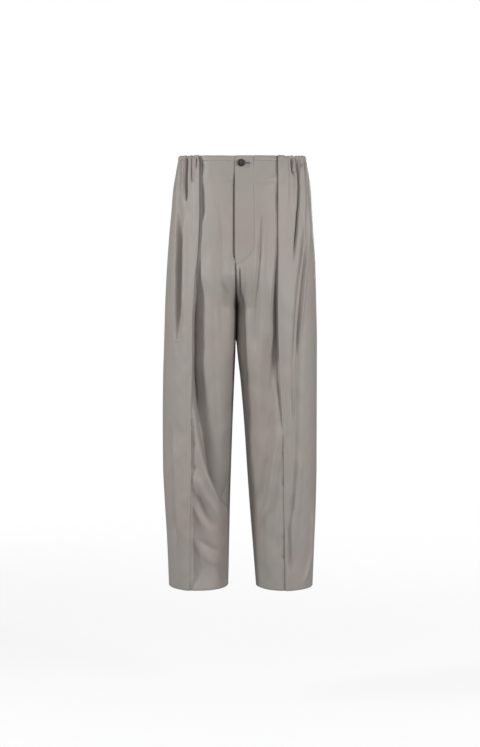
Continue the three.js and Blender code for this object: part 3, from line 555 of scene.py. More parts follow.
def end_share(half, z, distance):
    """The share at which a panel starts, a set distance from the centre seam or inseam."""
    end = form(half, np.zeros_like(z), z)
    low, high = np.zeros_like(z), np.full_like(z, 0.01)
    for _ in range(END_HALVINGS):
        middle = (low + high) / 2
        near = np.linalg.norm(form(half, middle, z) - end, axis=-1) < distance
        low, high = np.where(near, middle, low), np.where(near, high, middle)
    return high


def girth_per_share(half, share, z):
    """Millimetres round a half for a whole share, beside a share."""
    ahead, behind = form(half, share + 0.005, z), form(half, share - 0.005, z)
    return np.linalg.norm(ahead - behind, axis=-1) / 0.01


def pleat_at(half, z):
    """What the pleat table says at heights z, with the share of the girth where the fold lies."""
    side = SIDE_NAMES[half]
    columns = {name: name for name in ("stand", "turned", "loop")}
    columns |= {name: name + side.capitalize() for name in ("drawn", "spread")}
    pleat = {name: table_at(PLEATS, PLEAT_COLUMNS, column, z) for name, column in columns.items()}
    pleat["share"] = share_at_x(half, table_at(PLEATS, PLEAT_COLUMNS, side, z), z)
    pleat["girth"] = girth_per_share(half, pleat["share"], z)
    return pleat


def pleat_rows(half, z):
    """The same, with a row for each height."""
    return {name: value[:, None] for name, value in pleat_at(half, z).items()}


# ---------------------------------------------------------------- folds

def folds_rise(table, half, x, z):
    """Rise of all folds of a table, seen from the front or the back."""
    rise = np.zeros(np.broadcast(x, z).shape)
    for fold_half, height, to_centre, to_side, fade_top, fade_foot, path in table:
        if fold_half != half:
            continue
        at = np.array([-point[0] for point in path], dtype=float)
        line = smooth_curve(at, np.array([point[1] for point in path], dtype=float), -z)
        beside = half * (x - line)
        width = np.where(beside > 0, to_side, to_centre)
        fade = ease(-at[0], -at[0] - fade_top, z) * ease(-at[-1], -at[-1] + fade_foot, z)
        rise = rise + height * np.exp(-((beside / width) ** 2)) * fade
    return rise


def puckers_rise(half, x, z):
    """Rise of the small puckers beside the long seams."""
    rise = np.zeros(np.broadcast(x, z).shape)
    for pucker_half, at_x, at_z, depth, across, down in PUCKERS:
        if pucker_half == half:
            rise = rise - depth * np.exp(-(((x - at_x) / across) ** 2) - ((z - at_z) / down) ** 2)
    return rise


def creases_rise(half, x, z):
    """Rise of the short creases."""
    rise = np.zeros(np.broadcast(x, z).shape)
    for crease_half, height, width, line in CREASES:
        if crease_half == half:
            rise = rise + height * np.exp(-((line_distance(line, x, z) / width) ** 2))
    return rise


def line_distance(line, x, z):
    """Distance from points of the front to a line of heights and x, seen from the front."""
    nearest = np.full(np.broadcast(x, z).shape, np.inf)
    for (z0, x0), (z1, x1) in zip(line, line[1:]):
        dx, dz = x1 - x0, z1 - z0
        along = np.clip(((x - x0) * dx + (z - z0) * dz) / (dx * dx + dz * dz), 0, 1)
        nearest = np.minimum(nearest, np.hypot(x - x0 - along * dx, z - z0 - along * dz))
    return nearest


def unevenness(half, share, z):
    """Slight, slow waves that keep the cloth from looking pressed."""
    total = 0
    for height, across, down, phase in WAVES:
        total = total + height * np.sin(2 * math.pi * (share * across + z * down) + phase * (2 + half))
    return total * ease(0, 0.03, np.minimum(share, 1 - share))


def seam_turn(distance, depth, width):
    """How far a panel's edge turns in at a seam, by the distance from the seam."""
    return -depth * np.exp(-((np.asarray(distance) / width) ** 2))


def centre_turn(half, end, z, distance, depth, width):
    """The turn at the centre seams and inseams. It is less where two edges face each other at the crotch."""
    facing_out = np.abs(form_normal(half, end, z)[..., 1])
    return np.where(z > CROTCH, depth * facing_out, INSEAM_TURN) * seam_turn(distance, 1, width)


def fly_step(half, share, z):
    """The left front steps out over the fly, and the right front steps in under it."""
    level = FLY_LEVEL[half]
    return half * FLY_STEP * ease(FLY_FOOT - FLY_FADE, FLY_FOOT, z) * ease(level + FLY_SLOPE, level, share)


def fly_billow(half, x, z):
    """The lapping edge stands off a little and the front under it falls away, so a gap shows between them."""
    rise, middle, width = FLY_BILLOW[half]
    top, full, fade, foot = BILLOW_HEIGHTS
    height = ease(top, full, z) * ease(foot, fade, z)
    return rise * np.exp(-(((x - middle) / width) ** 2)) * height


def front_rise(half, share, z, pleat, settings):
    """Height of a front panel over the worn shape."""
    x = form(half, share, z)[..., 0]
    beside = (pleat["share"] - share) * pleat["girth"]
    slope = np.clip(1 - np.maximum(beside - DRAWN_FLAT, 0) / pleat["spread"], 0, 1)
    drawn = pleat["drawn"] * slope ** DRAWN_BEND
    seat = np.maximum(0, pleat["loop"] + LAYER - pleat["stand"]) * np.exp(-((beside / SEAT_SPREAD) ** 2))
    folds = folds_rise(FRONT_FOLDS, half, x, z) + puckers_rise(half, x, z) + creases_rise(half, x, z)
    calm = ease(0, 0.03, share)
    fold_calm = 1 if half == LEFT else calm
    uneven = unevenness(half, np.abs(share), z) * calm
    open_part = folds * settings.fold_strength * fold_calm + uneven - drawn - seat
    sewn = pleat["stand"] - pleat["loop"] - LAYER
    at_fold = np.minimum(open_part, sewn)
    hidden = at_fold + (sewn - at_fold) * ease(0, 1, -beside / (pleat["turned"] * SEWN_SHARE))
    rise = np.where(beside >= 0, open_part, hidden) + fly_step(half, share, z) + fly_billow(half, x, z)
    if half == LEFT:
        groove = np.exp(-((line_distance(J_LINE, x, z) / J_WIDTH) ** 2))
        rise = rise - J_GROOVE * groove * (z > GROOVE_FOOT)
    return rise


def side_rise(half, share, z, pleat, settings):
    """Height of a side panel's outer layer over the worn shape."""
    x = form(half, share, z)[..., 0]
    beside = (share - pleat["share"]) * pleat["girth"]
    stand = pleat["stand"] * np.exp(-((beside / PLEAT_SPREAD) ** 2))
    folds = folds_rise(FRONT_FOLDS, half, x, z) + SIDE_PUCKERS * puckers_rise(half, x, z)
    gathers = folds_rise(SIDE_GATHERS, half, x, z)
    calm = ease(0, 9, beside) * ease(0, OUTLINE_CALM, np.abs(section(half, z)[0]) - np.abs(x))
    own = folds * settings.fold_strength + gathers * settings.gather_strength + unevenness(half, share, z)
    return stand + calm * own


def back_gathers(half, share, z):
    """Uneven ridges and troughs that run down from the casing over half of the back."""
    random = np.random.default_rng(GATHER_SEED + half)
    along = (share - SIDE_SHARE) * 2
    rise = np.zeros(np.broadcast(share, z).shape)
    count = BACK_GATHERS * 2
    for k in range(count):
        centre = (k + 0.5 + random.uniform(-0.22, 0.22)) / count
        width = random.uniform(0.4, 0.6) / count
        height = random.uniform(2.6, 5.4) * (0.8 if k % 2 else -1)
        length = random.uniform(70, 190)
        drift = random.uniform(-0.02, 0.02)
        line = centre + drift * (z / -150)
        rise = rise + height * np.exp(-(((along - line) / width) ** 2)) * np.clip(1 + z / length, 0, 1) ** 1.4
    return rise


def back_rise(half, share, z, settings):
    """Height of a back panel over the worn shape."""
    x = form(half, 1 - share, z)[..., 0]
    along = (share - SIDE_SHARE) * 2
    calm = ease(0, 0.06, along) * ease(1, 0.94, along)
    folds = folds_rise(BACK_FOLDS, half, x, z) * settings.fold_strength
    gathers = back_gathers(half, share, z) * settings.gather_strength
    return calm * (folds + gathers + unevenness(half, share, z))


# ---------------------------------------------------------------- sheets

def spans(grid):
    """Each row's span, from the row before it to the row after it."""
    return np.concatenate([grid[1:2] - grid[:1], grid[2:] - grid[:-2], grid[-1:] - grid[-2:-1]])


def grid_normals(grid):
    """Unit normals of a grid of points."""
    across = spans(grid.swapaxes(0, 1)).swapaxes(0, 1)
    normal = np.cross(spans(grid), across)
    return normal / np.maximum(np.linalg.norm(normal, axis=-1, keepdims=True), TINY)


def border(grid, number):
    """Numbers of the points round a grid's border, and the direction out of the cloth at each."""
    ring = np.concatenate([number[:-1, 0], number[-1, :-1], number[:0:-1, -1], number[0, :0:-1]])
    inward = np.zeros_like(grid)
    inward[0] += grid[1] - grid[0]
    inward[-1] += grid[-2] - grid[-1]
    inward[:, 0] += grid[:, 1] - grid[:, 0]
    inward[:, -1] += grid[:, -2] - grid[:, -1]
    outward = -inward.reshape(-1, 3)[ring]
    return ring, outward / np.maximum(np.linalg.norm(outward, axis=-1, keepdims=True), TINY)


def shell_faces(number, ring):
    """Faces of the outer layer, of the inner layer and of the edge between them."""
    count = number.size
    corners = (number[:-1, :-1], number[1:, :-1], number[1:, 1:], number[:-1, 1:])
    outer = np.stack([corner.ravel() for corner in corners], axis=1)
    inner = outer[:, [0, 3, 2, 1]] + count
    rim = 2 * count + np.arange(len(ring))
    following, rim_next = np.roll(ring, -1), np.roll(rim, -1)
    edge = np.concatenate([
        np.stack([ring, rim, rim_next, following], axis=1),
        np.stack([rim, ring + count, following + count, rim_next], axis=1),
    ])
    return outer, inner, edge


def quad_mesh(name, vertices, faces):
    mesh = bpy.data.meshes.new(name)
    mesh.vertices.add(len(vertices))
    mesh.vertices.foreach_set("co", vertices.ravel())
    mesh.loops.add(faces.size)
    mesh.loops.foreach_set("vertex_index", faces.ravel().astype(np.int32))
    mesh.polygons.add(len(faces))
    mesh.polygons.foreach_set("loop_start", np.arange(0, faces.size, 4, dtype=np.int32))
    mesh.polygons.foreach_set("use_smooth", np.ones(len(faces), dtype=bool))
    return mesh


def lay_uv(mesh, grid, ring, faces):
    """Lays the cloth out flat in a UV map, in metres."""
    across = np.cumsum(np.linalg.norm(np.diff(grid, axis=1, prepend=grid[:, :1]), axis=-1), axis=1)
    along = np.cumsum(np.linalg.norm(np.diff(grid, axis=0, prepend=grid[:1]), axis=-1), axis=0)
    flat = np.stack([across.ravel(), -along.ravel()], axis=1)
    uv = np.concatenate([flat, flat, flat[ring]]) * MM
    layer = mesh.uv_layers.new(name="cloth")
    layer.data.foreach_set("uv", uv[faces.ravel()].ravel())


def sheet_object(name, half, grid, wall, face_material, reverse_material):
    """A closed shell of cloth round a grid of points in mm, with a rounded edge."""
    number = np.arange(grid.shape[0] * grid.shape[1]).reshape(grid.shape[:2])
    normal = grid_normals(grid) * half
    outer, inner = grid + normal * wall / 2, grid - normal * wall / 2
    ring, outward = border(grid, number)
    rim = grid.reshape(-1, 3)[ring] + outward * wall * EDGE_ROUND
    vertices = np.concatenate([outer.reshape(-1, 3), inner.reshape(-1, 3), rim]) * MM
    layers = shell_faces(number, ring)
    faces = np.concatenate(layers)
    if half == RIGHT:
        faces = faces[:, ::-1]
    mesh = quad_mesh(name, vertices, faces)
    mesh.materials.append(face_material)
    mesh.materials.append(reverse_material)
    index = np.repeat(np.array([0, 1, 0], dtype=np.int32), [len(layer) for layer in layers])
    mesh.polygons.foreach_set("material_index", index)
    mesh.update(calc_edges=True)
    lay_uv(mesh, grid, ring, faces)
    return linked(name, mesh)


def linked(name, mesh):
    piece = bpy.data.objects.new(name, mesh)
    bpy.context.scene.collection.objects.link(piece)
    return piece


def cloth_piece(name, half, grid, wall, stands_for):
    """Makes one sheet, hangs it under the root and hides the solid that it stands for."""
    face, reverse = material_named("satin_cloth"), material_named("satin_reverse")
    piece = sheet_object(name, half, grid, wall, face, reverse)
    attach(piece, "root")
    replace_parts(piece, stands_for)


def half_piece(kind, half, grid):
    """Makes the sheet of a kind on one half."""
    stands_for, wall, held, hangs_from = SHEETS[kind]
    side = SIDE_NAMES[half]
    name, support = f"cloth_{kind}_{side}", f"cloth_{hangs_from}_{side}"
    cloth_piece(name, half, grid, wall, f"{stands_for}_{side}")


def row_heights():
    """Heights of the rows down a panel, from its top edge behind the band to the hem."""
    rows = [BAND_TUCK - BAND_HEIGHT]
    for stop, spacing in ROW_STEPS:
        if rows[-1] > stop:
            count = max(1, round((rows[-1] - stop) / spacing))
            rows += list(np.linspace(rows[-1], stop, count + 1)[1:])
    return np.array(rows)


def tucked_top(grid, half):
    """Moves the rows behind the band inwards, so that the band covers the panel's top edge."""
    tuck = (grid[:, :, 2].max() - grid[:, :, 2]) < BAND_TUCK - 0.5
    return grid - grid_normals(grid) * half * TUCK_IN * tuck[..., None]


def front_columns():
    """Shares of a front panel's width: closer together beside the centre and the pleat."""
    even = np.linspace(0, 1, FRONT_COLUMNS)
    eased = even - FRONT_CLOSENESS * np.sin(2 * math.pi * even) / (2 * math.pi)
    return np.array(sorted(set(np.round(np.concatenate([eased, NEAR_CENTRE]), 6))) + UNDER_PLEAT)


def front_share(first, pleat, columns):
    """Shares of a front's columns. Those above 1 run on under the side panel."""
    to_pleat = first + (pleat["share"] - first) * columns
    under = pleat["share"] + (columns - 1) * pleat["turned"] / pleat["girth"]
    return np.where(columns <= 1, to_pleat, under)


def front_grid(half, z, columns, settings):
    """Points of a front panel."""
    pleat = pleat_rows(half, z)
    end = end_share(half, z, SEAM_GAP)
    first = (end - (FLY_PAST[half] + end) * ease(FLY_FOOT, FLY_FOOT + FLY_FADE, z))[:, None]
    z = z[:, None]
    share = front_share(first, pleat, columns)
    rise = front_rise(half, share, z, pleat, settings)
    from_seam = (share - first) * girth_per_share(half, np.maximum(share, 0.01), z)
    below_fly = ease(FLY_FOOT + FLY_FADE, FLY_FOOT, z)
    rise = rise + centre_turn(half, end[:, None], z, from_seam, SEAM_TURN, SEAM_WIDTH) * below_fly
    return raised(half, share, z, rise)


def with_fly_top(grid, z, columns, settings):
    """The left front reaches the top edge between the fly edge and the J-shaped line."""
    is_fly = (columns < J_SHARE)[None, :, None]
    top = front_grid(LEFT, np.linspace(0, z[0], 5)[:-1], columns, settings)
    grid = np.where(is_fly, grid, tucked_top(grid, LEFT))
    top_behind = np.repeat(grid[:1], len(top), axis=0)
    top_behind[:, :, 2] += np.linspace(0.8, 0.2, len(top))[:, None]
    return np.concatenate([np.where(is_fly, top, top_behind), grid])


def build_front_panel(half, settings):
    z = row_heights()
    columns = front_columns()
    grid = front_grid(half, z, columns, settings)
    if half == LEFT:
        grid = with_fly_top(grid, z, columns, settings)
    else:
        grid = tucked_top(grid, half)
    half_piece("front", half, grid)


def build_front_band(half, settings):
    first = J_SHARE if half == LEFT else 0.0
    columns = first + (BAND_END - first) * np.linspace(0, 1, 60)
    z, puff = np.array(BAND_ROWS).T
    pleat = pleat_rows(half, z)
    share = front_share(-FLY_PAST[half], pleat, columns)
    rise = front_rise(half, share, z[:, None], pleat, settings) + BAND_PUFF * puff[:, None] + BAND_STAND
    grid = raised(half, share, z[:, None], rise)
    half_piece("front_band", half, grid)


def side_grid(half, z, settings):
    """Points of a side panel: the part turned under, the folded edge and the outer layer."""
    pleat = pleat_rows(half, z)
    z = z[:, None]
    radius = pleat["loop"] / 2
    under, middle = pleat["stand"] - 2 * radius, pleat["stand"] - radius
    away = np.linspace(1, 0, 9)[None, :-1]
    flat_share = pleat["share"] + (radius + (pleat["turned"] - radius) * away) / pleat["girth"]
    angle = np.linspace(-90, 90, 11)[None, :] * math.pi / 180
    loop_share = pleat["share"] + radius * (1 - np.cos(angle)) / pleat["girth"]
    even = np.linspace(0, 1, SIDE_COLUMNS)[None, 1:]
    even = even - GATHER_CLOSENESS * np.sin(math.pi * even) / math.pi
    first = pleat["share"] + radius / pleat["girth"]
    last = SIDE_SHARE - SEAM_GAP / girth_per_share(half, np.full_like(z, SIDE_SHARE), z)
    share = first + (last - first) * even
    to_seam = (last - share) * girth_per_share(half, share, z)
    rise = side_rise(half, share, z, pleat, settings) + seam_turn(to_seam, *SIDE_SEAM)
    return np.concatenate([
        raised(half, flat_share, z, under),
        raised(half, loop_share, z, middle + radius * np.sin(angle)),
        raised(half, share, z, rise),
    ], axis=1)


def build_side_panel(half, settings):
    grid = tucked_top(side_grid(half, row_heights(), settings), half)
    half_piece("side", half, grid)


def build_back_panel(half, settings):
    z = row_heights()
    last = 1 - end_share(half, z, SEAM_GAP)[:, None]
    z = z[:, None]
    first = SIDE_SHARE + SEAM_GAP / girth_per_share(half, np.full_like(z, SIDE_SHARE), z)
    columns = np.array(sorted({*np.linspace(0, 1, BACK_COLUMNS), *NEAR_SEAMS}))[None, :]
    share = first + (last - first) * columns
    girth = girth_per_share(half, np.clip(share, 0.01, 0.99), z)
    turn = seam_turn((share - first) * girth, *SIDE_SEAM)
    turn = turn + centre_turn(half, last, z, (last - share) * girth, *SIDE_SEAM)
    grid = tucked_top(raised(half, share, z, back_rise(half, share, z, settings) + turn), half)
    half_piece("back", half, grid)


def casing_ruffle(half, along, z, count, seed):
    """Fine puckers of the cloth on the elastic."""
    random = np.random.default_rng(seed + half)
    rise = np.zeros(np.broadcast(along, z).shape)
    for k in range(count):
        centre = (k + 0.5 + random.uniform(-0.3, 0.3)) / count
        width = random.uniform(0.22, 0.4) / count
        slant = random.uniform(-0.25, 0.25) / count
        across = (along - centre - slant * z / -BAND_HEIGHT) / width
        rise = rise - random.uniform(1.0, 2.8) * np.exp(-(across ** 2))
    return rise


def ruffled_edge(grid, ruffle):
    """Lets the top edge dip wherever the cloth on the elastic is puckered in."""
    from_top = np.clip(1 - np.arange(len(grid)) / 6, 0, 1)[:, None]
    grid[:, :, 2] += RUFFLE_DIP * ruffle * from_top
    return grid


def build_side_casing(half, settings):
    z, puff = np.array(CASING_ROWS).T[:, :, None]
    pleat = pleat_rows(half, z[:, 0])
    even = np.linspace(0, 1, 130)[None, :]
    share = pleat["share"] + (SIDE_SHARE - pleat["share"]) * even
    ruffle = casing_ruffle(half, even, z, *SIDE_RUFFLE) * ease(0, 0.2, even)
    rise = side_rise(half, share, z, pleat, settings) + puff + ruffle * settings.gather_strength
    grid = ruffled_edge(raised(half, share, z, rise), ruffle)
    half_piece("side_casing", half, grid)


def build_back_casing(half, settings):
    z, puff = np.array(CASING_ROWS).T[:, :, None]
    even = np.linspace(0, 1, 190)[None, :]
    share = SIDE_SHARE + (1 - CASING_GAP - SIDE_SHARE) * even
    ruffle = casing_ruffle(half, even, z, *BACK_RUFFLE) * ease(0, 0.03, even) * ease(1, 0.97, even)
    rise = back_rise(half, share, z, settings) + puff + ruffle * settings.gather_strength
    grid = ruffled_edge(raised(half, share, z, rise), ruffle)
    half_piece("back_casing", half, grid)


def fly_grid(x, z, level):
    """Points near the fly by x, moved out from the worn shape."""
    right = raised(RIGHT, share_at_x(RIGHT, np.minimum(x, CENTRE_X), z), z, np.full(x.shape, level))
    left = raised(LEFT, share_at_x(LEFT, np.maximum(x, CENTRE_X), z), z, np.full(x.shape, level))
    return np.where((x < CENTRE_X)[..., None], right, left)


def build_fly_layers():
    z = np.linspace(LAYERS_TOP, LAYERS_FOOT, 60)[:, None]
    across = np.linspace(0, 1, 14)[None, :]
    down = np.clip((FACING_CURVE_TOP - z) / FACING_CURVE, 0, 1)
    facing_x = CENTRE_X + FACING_WIDTH * np.sqrt(1 - down * down) * across
    shield_x = SHIELD_FIRST + SHIELD_WIDTH * across + 0 * z
    facing, shield = fly_grid(facing_x, z, 0.0), fly_grid(shield_x, z, SHIELD_LEVEL)
    cloth_piece("cloth_fly_facing", LEFT, facing, WALL, "fly_facing_left")
    cloth_piece("cloth_fly_shield", LEFT, shield, WALL, "fly_shield_right")


# ---------------------------------------------------------------- stitches

def stitch_template():
    """Vertices and faces of one stitch, 1 long along X and 1 thick, from a primitive."""
    bpy.ops.object.select_all(action="DESELECT")
    bpy.ops.mesh.primitive_uv_sphere_add(segments=8, ring_count=6, radius=0.5, location=(0, 0, 0))
    ball = bpy.context.object
    vertices = np.array([vertex.co[:] for vertex in ball.data.vertices])
    faces = [list(polygon.vertices) for polygon in ball.data.polygons]
    bpy.data.objects.remove(ball, do_unlink=True)
    return vertices, faces


def stitch_run(name, places, directions, normals, length, thick, material="sewing_thread"):
    """One mesh of stitches, each laid along its direction and half sunk into the cloth."""
    template, template_faces = stitch_template()
    vertices, faces = [], []
    for place, direction, normal in zip(places, directions, normals):
        along = Vector(direction).normalized()
        out = Vector(normal).normalized()
        side = along.cross(out).normalized()
        axes = np.array([along * length, side * thick, out * thick])
        offset = len(vertices) * len(template)
        vertices.append(template @ axes + np.asarray(place))
        faces += [[index + offset for index in face] for face in template_faces]
    mesh = bpy.data.meshes.new(name)
    mesh.from_pydata((np.concatenate(vertices) * MM).tolist(), [], faces)
    mesh.materials.append(material_named(material))
    mesh.shade_smooth()
    mesh.update()
    piece = linked(name, mesh)
    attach(piece, "root")
    return piece


def evenly(points, spacing):
    """Points at even distances along a polyline."""
    points = np.asarray(points, dtype=float)
    run = np.concatenate([[0], np.cumsum(np.linalg.norm(np.diff(points, axis=0), axis=1))])
    at = np.arange(spacing / 2, run[-1], spacing)
    return np.stack([np.interp(at, run, points[:, i]) for i in range(points.shape[1])], axis=1)


def on_front(half, x, z, out, settings):
    """Points and normals a distance off the outer face of a front panel, by x and height."""
    share = share_at_x(half, x, z)
    rise = front_rise(half, share, z, pleat_at(half, z), settings) + WALL / 2 + out
    return raised(half, share, z, rise), form_normal(half, share, z)


def stitched_line(name, half, line, out, settings):
    """A run of small stitches along a line of heights and x on a front panel."""
    spots = evenly([(x, z) for z, x in line], STITCH_SPACING)
    place, normal = on_front(half, spots[:, 0], spots[:, 1], out, settings)
    stitch_run(name, place, np.gradient(place, axis=0), normal, STITCH_LENGTH, STITCH_THICK)


# ---------------------------------------------------------------- materials

def linear(text, share=1.0):
    """sRGB hex to linear RGBA, darkened to a share."""
    values = [int(text[i:i + 2], 16) / 255 for i in (1, 3, 5)]
    values = [v / 12.92 if v <= 0.04045 else ((v + 0.055) / 1.055) ** 2.4 for v in values]
    return tuple(v * share for v in values) + (1.0,)


def node(tree, kind, inputs=None, links=None, **settings):
    """Adds a node with its settings, fixed inputs and links from other nodes' outputs."""
    new = tree.nodes.new(kind)
    for name, value in settings.items():
        setattr(new, name, value)
    for name, value in (inputs or {}).items():
        new.inputs[name].default_value = value
    for name, output in (links or {}).items():
        tree.links.new(output, new.inputs[name])
    return new


def ramp(tree, factor, stops):
    """Colours between stops, each a position and a colour."""
    new = node(tree, "ShaderNodeValToRGB", links={"Fac": factor})
    elements = new.color_ramp.elements
    while len(elements) < len(stops):
        elements.new(1.0)
    for element, (position, colour) in zip(elements, stops):
        element.position = position
        element.color = colour
    return new.outputs["Color"]


def new_material(name):
    material = bpy.data.materials.get(name) or bpy.data.materials.new(name)
    material.use_nodes = True
    material.node_tree.nodes.clear()
    return material.node_tree


def material_named(name):
    material = bpy.data.materials.get(name)
    if material is None:
        raise RuntimeError(f"the material {name} is not made yet")
    return material


def finish_material(tree, inputs, links):
    """Ends a material's nodes in one principled shader."""
    shader = node(tree, "ShaderNodeBsdfPrincipled", inputs, links)
    node(tree, "ShaderNodeOutputMaterial", links={"Surface": shader.outputs["BSDF"]})


def cloth_material(name, light, middle, dark, roughness, sheen):
    """Woven cupro satin: fine warp floats give a soft sheen that runs down the legs, with faint slubs."""
    tree = new_material(name)
    place = node(tree, "ShaderNodeTexCoord").outputs
    # Slow drift of the dye, about 180 mm across.
    drift = node(
        tree, "ShaderNodeTexNoise",
        {"Scale": 5.5, "Detail": 3.0, "Roughness": 0.55}, {"Vector": place["Object"]},
    )
    # Streaks along the warp, about 2 mm wide and 60 mm long.
    stretch = node(tree, "ShaderNodeMapping", {"Scale": (420.0, 16.0, 1.0)}, {"Vector": place["UV"]})
    streak = node(
        tree, "ShaderNodeTexNoise",
        {"Scale": 1.0, "Detail": 2.0, "Roughness": 0.6}, {"Vector": stretch.outputs["Vector"]},
    ).outputs["Fac"]
    tone = node(tree, "ShaderNodeMath", {1: 0.16}, {0: streak}, operation="MULTIPLY")
    tones = {0: drift.outputs["Fac"], 1: tone.outputs["Value"]}
    mixed = node(tree, "ShaderNodeMath", links=tones, operation="ADD")
    stops = [(0.36, linear(dark)), (0.56, linear(middle)), (0.78, linear(light))]
    colour = ramp(tree, mixed.outputs["Value"], stops)
    # Weave: threads 0.4 mm apart, drawn 1.2 mm apart so that they can show in a close view.
    diagonal = node(
        tree, "ShaderNodeMapping", {"Rotation": (0, 0, math.radians(63))}, {"Vector": place["UV"]},
    )
    weave = node(
        tree, "ShaderNodeTexWave", {"Scale": 265.0, "Distortion": 1.2, "Detail": 1.0},
        {"Vector": diagonal.outputs["Vector"]}, wave_type="BANDS",
    )
    fine = node(
        tree, "ShaderNodeBump", {"Strength": 0.12, "Distance": 0.0002}, {"Height": weave.outputs["Fac"]},
    )
    # Soft rumpling that is too small for the shape, about 25 mm by 60 mm.
    upright = node(tree, "ShaderNodeMapping", {"Scale": (1.0, 1.0, 0.42)}, {"Vector": place["Object"]})
    rumple = node(
        tree, "ShaderNodeTexNoise",
        {"Scale": 34.0, "Detail": 3.0, "Roughness": 0.5}, {"Vector": upright.outputs["Vector"]},
    )
    soft = node(
        tree, "ShaderNodeBump", {"Strength": 0.5, "Distance": 0.0016},
        {"Height": rumple.outputs["Fac"], "Normal": fine.outputs["Normal"]},
    )
    rough = node(
        tree, "ShaderNodeMapRange",
        {"To Min": roughness - 0.05, "To Max": roughness + 0.07}, {"Value": streak},
    )
    finish_material(
        tree,
        {
            "Metallic": 0.0, "IOR": 1.5, "Specular IOR Level": 0.32,
            "Sheen Weight": sheen, "Sheen Roughness": 0.45, "Sheen Tint": (0.95, 0.95, 0.95, 1.0),
        },
        {"Base Color": colour, "Roughness": rough.outputs["Result"], "Normal": soft.outputs["Normal"]},
    )


def thread_material(name, colour_text):
    """Matt polyester sewing thread, two plies twisted together."""
    tree = new_material(name)
    place = node(tree, "ShaderNodeTexCoord").outputs
    # Twist of the plies, 0.6 mm a turn.
    twist = node(
        tree, "ShaderNodeTexWave", {"Scale": 520.0, "Distortion": 2.0}, {"Vector": place["Object"]},
        wave_type="BANDS", bands_direction="DIAGONAL",
    ).outputs["Fac"]
    # Painted shade: the colour drops to 72% where the twist runs low, in the grooves between the plies.
    colour = ramp(tree, twist, [(0.0, linear(colour_text, 0.72)), (1.0, linear(colour_text))])
    bump = node(tree, "ShaderNodeBump", {"Strength": 0.4, "Distance": 0.0001}, {"Height": twist})
    finish_material(
        tree, {"Roughness": 0.8, "Sheen Weight": 0.2, "IOR": 1.5},
        {"Base Color": colour, "Normal": bump.outputs["Normal"]},
    )


def button_material(colour_text, light_text):
    """Turned polyester horn-look button: dark brown with lighter clouds and faint turning rings."""
    tree = new_material("dark_button")
    place = node(tree, "ShaderNodeTexCoord").outputs
    cloud = node(
        tree, "ShaderNodeTexNoise",
        {"Scale": 160.0, "Detail": 4.0, "Distortion": 1.6}, {"Vector": place["Object"]},
    ).outputs["Fac"]
    colour = ramp(tree, cloud, [(0.35, linear(colour_text)), (0.75, linear(light_text))])
    middle = (-BUTTON_X * MM, 0.0, -BUTTON_HEIGHT * MM)
    centred = node(tree, "ShaderNodeMapping", {"Location": middle}, {"Vector": place["Object"]})
    rings = node(
        tree, "ShaderNodeTexWave",
        {"Scale": 380.0, "Distortion": 0.4}, {"Vector": centred.outputs["Vector"]},
        wave_type="RINGS", rings_direction="Y",
    )
    bump = node(
        tree, "ShaderNodeBump", {"Strength": 0.15, "Distance": 0.00008}, {"Height": rings.outputs["Fac"]},
    )
    rough = node(tree, "ShaderNodeMapRange", {"To Min": 0.45, "To Max": 0.6}, {"Value": cloud})
    finish_material(
        tree, {"IOR": 1.54, "Specular IOR Level": 0.3},
        {"Base Color": colour, "Roughness": rough.outputs["Result"], "Normal": bump.outputs["Normal"]},
    )


def floor_material(name, colour_text):
    """Matt white studio paint, worn thin towards the edge so that it shows no rim."""
    tree = new_material(name)
    place = node(tree, "ShaderNodeTexCoord").outputs
    grain = node(tree, "ShaderNodeTexNoise", {"Scale": 60.0, "Detail": 2.0}, {"Vector": place["Object"]})
    colour = ramp(tree, grain.outputs["Fac"], [(0.3, linear(colour_text, 0.985)), (0.7, linear(colour_text))])
    level = node(
        tree, "ShaderNodeVectorMath", {1: (1.0, 1.0, 0.0)}, {0: place["Object"]}, operation="MULTIPLY",
    )
    distance = node(tree, "ShaderNodeVectorMath", links={0: level.outputs["Vector"]}, operation="LENGTH")
    fade = node(
        tree, "ShaderNodeMapRange",
        {"From Min": FLOOR_FADE[0], "From Max": FLOOR_FADE[1], "To Min": FLOOR_COVER, "To Max": 0.0},
        {"Value": distance.outputs["Value"]}, interpolation_type="SMOOTHERSTEP",
    )
    finish_material(tree, {"Roughness": 0.85}, {"Base Color": colour, "Alpha": fade.outputs["Result"]})


# ---------------------------------------------------------------- settings

def colour_property(name, description, default):
    return bpy.props.StringProperty(name=name, description=description + ", as sRGB hex", default=default)


class TrousersClothSettings(bpy.types.PropertyGroup):
    """What the cloth looks like and how strongly it folds."""

    colour: colour_property("Cloth colour", "Main colour of the cloth", "#928b86")
    green_colour: colour_property("Greenish patches", "Lighter, greener dye patches", "#908c86")
    mauve_colour: colour_property("Mauve patches", "Darker, mauve dye patches", "#938883")
    roughness: bpy.props.FloatProperty(
        name="Roughness", description="How matt the face of the satin is",
        default=0.5, min=0.1, max=1.0, subtype="FACTOR",
    )
    fold_strength: bpy.props.FloatProperty(
        name="Folds", description="Depth of the long folds against their own sizes",
        default=1.0, min=0.0, max=1.5,
    )
    gather_strength: bpy.props.FloatProperty(
        name="Gathers", description="Depth of the gathers under the elastic",
        default=1.0, min=0.0, max=1.5,
    )


